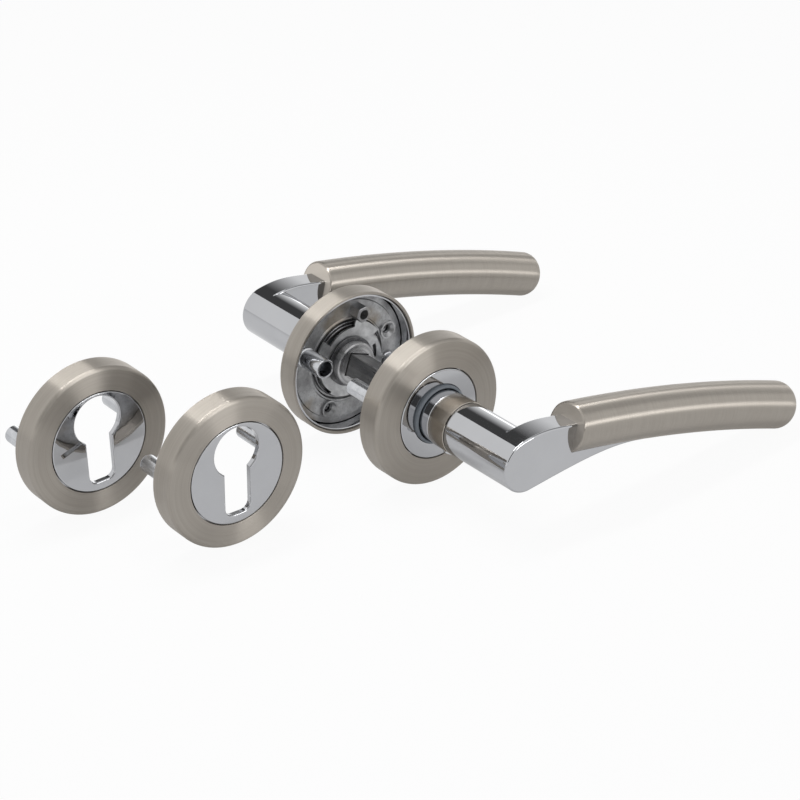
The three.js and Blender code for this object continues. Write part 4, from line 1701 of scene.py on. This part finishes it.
@dataclass
class Studio:
    """The floor, the lamps and cards, the background and the camera."""

    floor_height: float = -0.0276
    floor_glow: float = 0.94
    floor_gloss: float = 0.6
    # painted shadow: near the door's middle, the floor's glow that metal sees falls to this
    # share, then fades back to floor_gloss between these two distances
    painted_shadow_share: float = 0.38
    painted_shadow_reach: tuple[float, float] = (0.075, 0.1)
    boxes: tuple[SoftBox, ...] = (
        SoftBox("overhead_softbox", 97, 0.1, (0.07, 0.42), 14.5, 0.505, 0.1),
        SoftBox("front_softbox", 56, -1.0, (0.5, 0.22), 6.5, 0.5),
        SoftBox("back_softbox", -2, 1.0, (0.75, 0.6), 1.1, 1.0),
    )
    cards: tuple[DarkCard, ...] = (
        DarkCard("back_card", 22, 97.5, 0.8, 3.0, 1.05, 0.08, 38),
        DarkCard("right_card", 20, 66, -0.42, 0.5, 1.05, 0.4, 6),
        DarkCard("front_card", 112, 168, -1.8, -0.5, 1.05, 0.12, 10),
    )
    camera_place: tuple[float, float, float] = (-0.48052, -0.61194, 0.40609)
    azimuth: float = -38.4513
    elevation: float = 27.9385
    roll: float = 0.3734
    lens: float = 114.192

    def camera(self) -> None:
        """Sets the camera up."""
        data = bpy.data.cameras.new("camera")
        data.lens, data.sensor_width = self.lens, 36
        data.clip_start, data.clip_end = 0.05, 20
        camera = bpy.data.objects.new("camera", data)
        turn = (
            Matrix.Rotation(math.radians(self.azimuth), 4, "Z")
            @ Matrix.Rotation(math.radians(90 - self.elevation), 4, "X")
            @ Matrix.Rotation(math.radians(self.roll), 4, "Z")
        )
        camera.matrix_world = Matrix.Translation(self.camera_place) @ turn
        bpy.context.scene.collection.objects.link(camera)
        bpy.context.scene.camera = camera

    def floor(self) -> None:
        """Lays a plain pale floor, which looks white to the camera but keeps a soft shadow."""
        Blank.clear_bench()
        bpy.ops.mesh.primitive_plane_add(size=8, location=(0, 0, self.floor_height))
        floor = bpy.context.object
        floor.name = "floor"
        material = bpy.data.materials.new("floor")
        material.use_nodes = True
        tree = material.node_tree
        tree.nodes.clear()
        matt = tree.nodes.new("ShaderNodeBsdfDiffuse")
        matt.inputs["Color"].default_value = (0.85, 0.85, 0.85, 1)
        glow = tree.nodes.new("ShaderNodeEmission")
        glow.inputs["Color"].default_value = (1, 1, 1, 1)
        glow.inputs["Strength"].default_value = 1.0
        share = tree.nodes.new("ShaderNodeMapRange")
        share.inputs["To Max"].default_value = self.floor_glow
        gloss = tree.nodes.new("ShaderNodeMix")
        mix = tree.nodes.new("ShaderNodeMixShader")
        output = tree.nodes.new("ShaderNodeOutputMaterial")
        tree.links.new(self.looking(tree), share.inputs[0])
        path = tree.nodes.new("ShaderNodeLightPath")
        tree.links.new(path.outputs["Is Glossy Ray"], gloss.inputs[0])
        tree.links.new(share.outputs[0], gloss.inputs[2])
        # metal sees the floor with a painted shadow between the handles
        tree.links.new(self.under(tree), gloss.inputs[3])
        tree.links.new(gloss.outputs[0], mix.inputs[0])
        tree.links.new(matt.outputs[0], mix.inputs[1])
        tree.links.new(glow.outputs[0], mix.inputs[2])
        tree.links.new(mix.outputs[0], output.inputs[0])
        floor.data.materials.append(material)

    def under(self, tree: bpy.types.NodeTree) -> bpy.types.NodeSocket:
        """Returns the floor's glow that metal sees, with a painted shadow that dims it between
        the handles.
        """
        split = tree.nodes.new("ShaderNodeSeparateXYZ")
        place = tree.nodes.new("ShaderNodeTexCoord")
        tree.links.new(place.outputs["Object"], split.inputs[0])
        far = tree.nodes.new("ShaderNodeMath")
        far.operation = "ABSOLUTE"
        tree.links.new(split.outputs[1], far.inputs[0])
        # painted shadow: the glow is least near the door's middle
        fade = tree.nodes.new("ShaderNodeMapRange")
        for name, value in (
            ("From Min", self.painted_shadow_reach[0]), ("From Max", self.painted_shadow_reach[1]),
            ("To Min", self.painted_shadow_share), ("To Max", self.floor_gloss),
        ):
            fade.inputs[name].default_value = value
        tree.links.new(far.outputs[0], fade.inputs["Value"])
        return fade.outputs[0]

    @staticmethod
    def looking(tree: bpy.types.NodeTree) -> bpy.types.NodeSocket:
        """Returns 1 for what the camera, metal or glass sees, and 0 for the light itself."""
        path = tree.nodes.new("ShaderNodeLightPath")
        total = path.outputs["Is Camera Ray"]
        for name in ("Is Glossy Ray", "Is Transmission Ray"):
            either = tree.nodes.new("ShaderNodeMath")
            either.operation = "MAXIMUM"
            tree.links.new(total, either.inputs[0])
            tree.links.new(path.outputs[name], either.inputs[1])
            total = either.outputs[0]
        return total

    def sky(self) -> None:
        """Makes the white surround."""
        world = bpy.data.worlds.new("surround")
        bpy.context.scene.world = world
        world.use_nodes = True
        tree = world.node_tree
        tree.nodes.clear()
        seen = tree.nodes.new("ShaderNodeBackground")
        seen.inputs["Strength"].default_value = 1.0
        seen.inputs["Color"].default_value = (1, 1, 1, 1)
        rest = tree.nodes.new("ShaderNodeBackground")
        rest.inputs["Color"].default_value = (0.4, 0.405, 0.42, 1)
        rest.inputs["Strength"].default_value = 1.0
        mix = tree.nodes.new("ShaderNodeMixShader")
        output = tree.nodes.new("ShaderNodeOutputWorld")
        tree.links.new(self.looking(tree), mix.inputs[0])
        tree.links.new(rest.outputs[0], mix.inputs[1])
        tree.links.new(seen.outputs[0], mix.inputs[2])
        tree.links.new(mix.outputs[0], output.inputs[0])

    def lamp(self, box: SoftBox) -> None:
        """Hangs a soft box that faces the spindle's axis."""
        data = bpy.data.lights.new(box.name, "AREA")
        data.shape = "RECTANGLE"
        data.size, data.size_y = box.size
        data.energy = math.pi * box.glow * box.size[0] * box.size[1]
        lamp = bpy.data.objects.new(box.name, data)
        x, z = polar(box.radius, box.angle)
        lamp.location = (x, box.along, z)
        aim = Vector((-x, box.aim - box.along, -z))
        turn = aim.to_track_quat("-Z", "Y").to_matrix().to_4x4()
        turn @= Matrix.Rotation(math.radians(box.spin), 4, "Z")
        lamp.rotation_euler = turn.to_euler()
        lamp.visible_camera = False
        bpy.context.scene.collection.objects.link(lamp)

    def card(self, card: DarkCard) -> None:
        """Stands up a curved dark card, which only the metal sees."""
        steps = 16
        points = []
        for i in range(steps + 1):
            x, z = polar(card.radius, card.start + (card.end - card.start) * i / steps)
            points.append((x, card.near, z))
        blank = Blank.chain(card.name, points)
        bpy.ops.mesh.select_all(action="SELECT")
        bpy.ops.mesh.extrude_region_move(
            TRANSFORM_OT_translate={"value": (0, card.far - card.near, 0)}
        )
        bpy.ops.object.mode_set(mode="OBJECT")
        piece = blank.piece
        piece.data.materials.append(self.card_paint(card))
        piece.visible_camera = piece.visible_diffuse = piece.visible_shadow = False

    @staticmethod
    def card_paint(card: DarkCard) -> bpy.types.Material:
        """Returns the card's even shade, which fades in from its first edge."""
        recipe = Recipe(card.name)
        split = recipe.add("ShaderNodeSeparateXYZ")
        recipe.join(recipe.place, split.inputs[0])
        angle = recipe.math("ARCTAN2", split.outputs[2], split.outputs[0])
        start, full = math.radians(card.start), math.radians(card.start + card.fade)
        cover = recipe.spread(angle, 0, 1, start, full)
        clear = recipe.add("ShaderNodeBsdfTransparent")
        glow = recipe.add("ShaderNodeEmission")
        glow.inputs["Color"].default_value = (1, 1, 1, 1)
        glow.inputs["Strength"].default_value = card.shade
        mix = recipe.add("ShaderNodeMixShader")
        recipe.join(cover, mix.inputs[0])
        recipe.join(clear.outputs[0], mix.inputs[1])
        recipe.join(glow.outputs[0], mix.inputs[2])
        output = next(n for n in recipe.tree.nodes if n.type == "OUTPUT_MATERIAL")
        recipe.join(mix.outputs[0], output.inputs[0])
        recipe.tree.nodes.remove(recipe.shader)
        return recipe.material

    def build(self) -> None:
        """Sets the whole studio up."""
        bpy.context.scene.view_settings.view_transform = "Standard"
        self.camera()
        self.floor()
        self.sky()
        for box in self.boxes:
            self.lamp(box)
        for card in self.cards:
            self.card(card)


def main() -> None:
    """Builds the set, piece by piece, and the studio round it."""
    logging.basicConfig(level=logging.INFO, format="%(name)s: %(message)s")
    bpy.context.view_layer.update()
    layout = Layout()
    lever = Lever(layout)
    bend = lever.bend_centre()
    centres = {}
    for side in Side:
        point = layout.handle(side) @ Vector((bend.x, bend.y, 0))
        centres[side] = (point.x, point.z)
    plates = [
        Escutcheon(layout, "left_escutcheon", (-101.4, 0.0), -34.1, 2.5),
        Escutcheon(layout, "right_escutcheon", (-77.5, 0.0), 11.2, 0.0),
    ]
    paints = Paints(centres, {p.name: (p.centre[0] / 1000, 0.0) for p in plates})
    posts = {Side.OUTSIDE: PostSize(3.1, 1.6, 15), Side.INSIDE: PostSize(3.6, 2.75, 7)}
    for side in Side:
        RoseShells(layout).build(side, paints)
        RoseWorks(layout, posts[side]).build(side, paints)
        lever.build(side, paints)
    Spindle(layout).build(paints)
    for plate in plates:
        plate.build(paints)
    Studio().build()


if __name__ == "__main__":
    main()
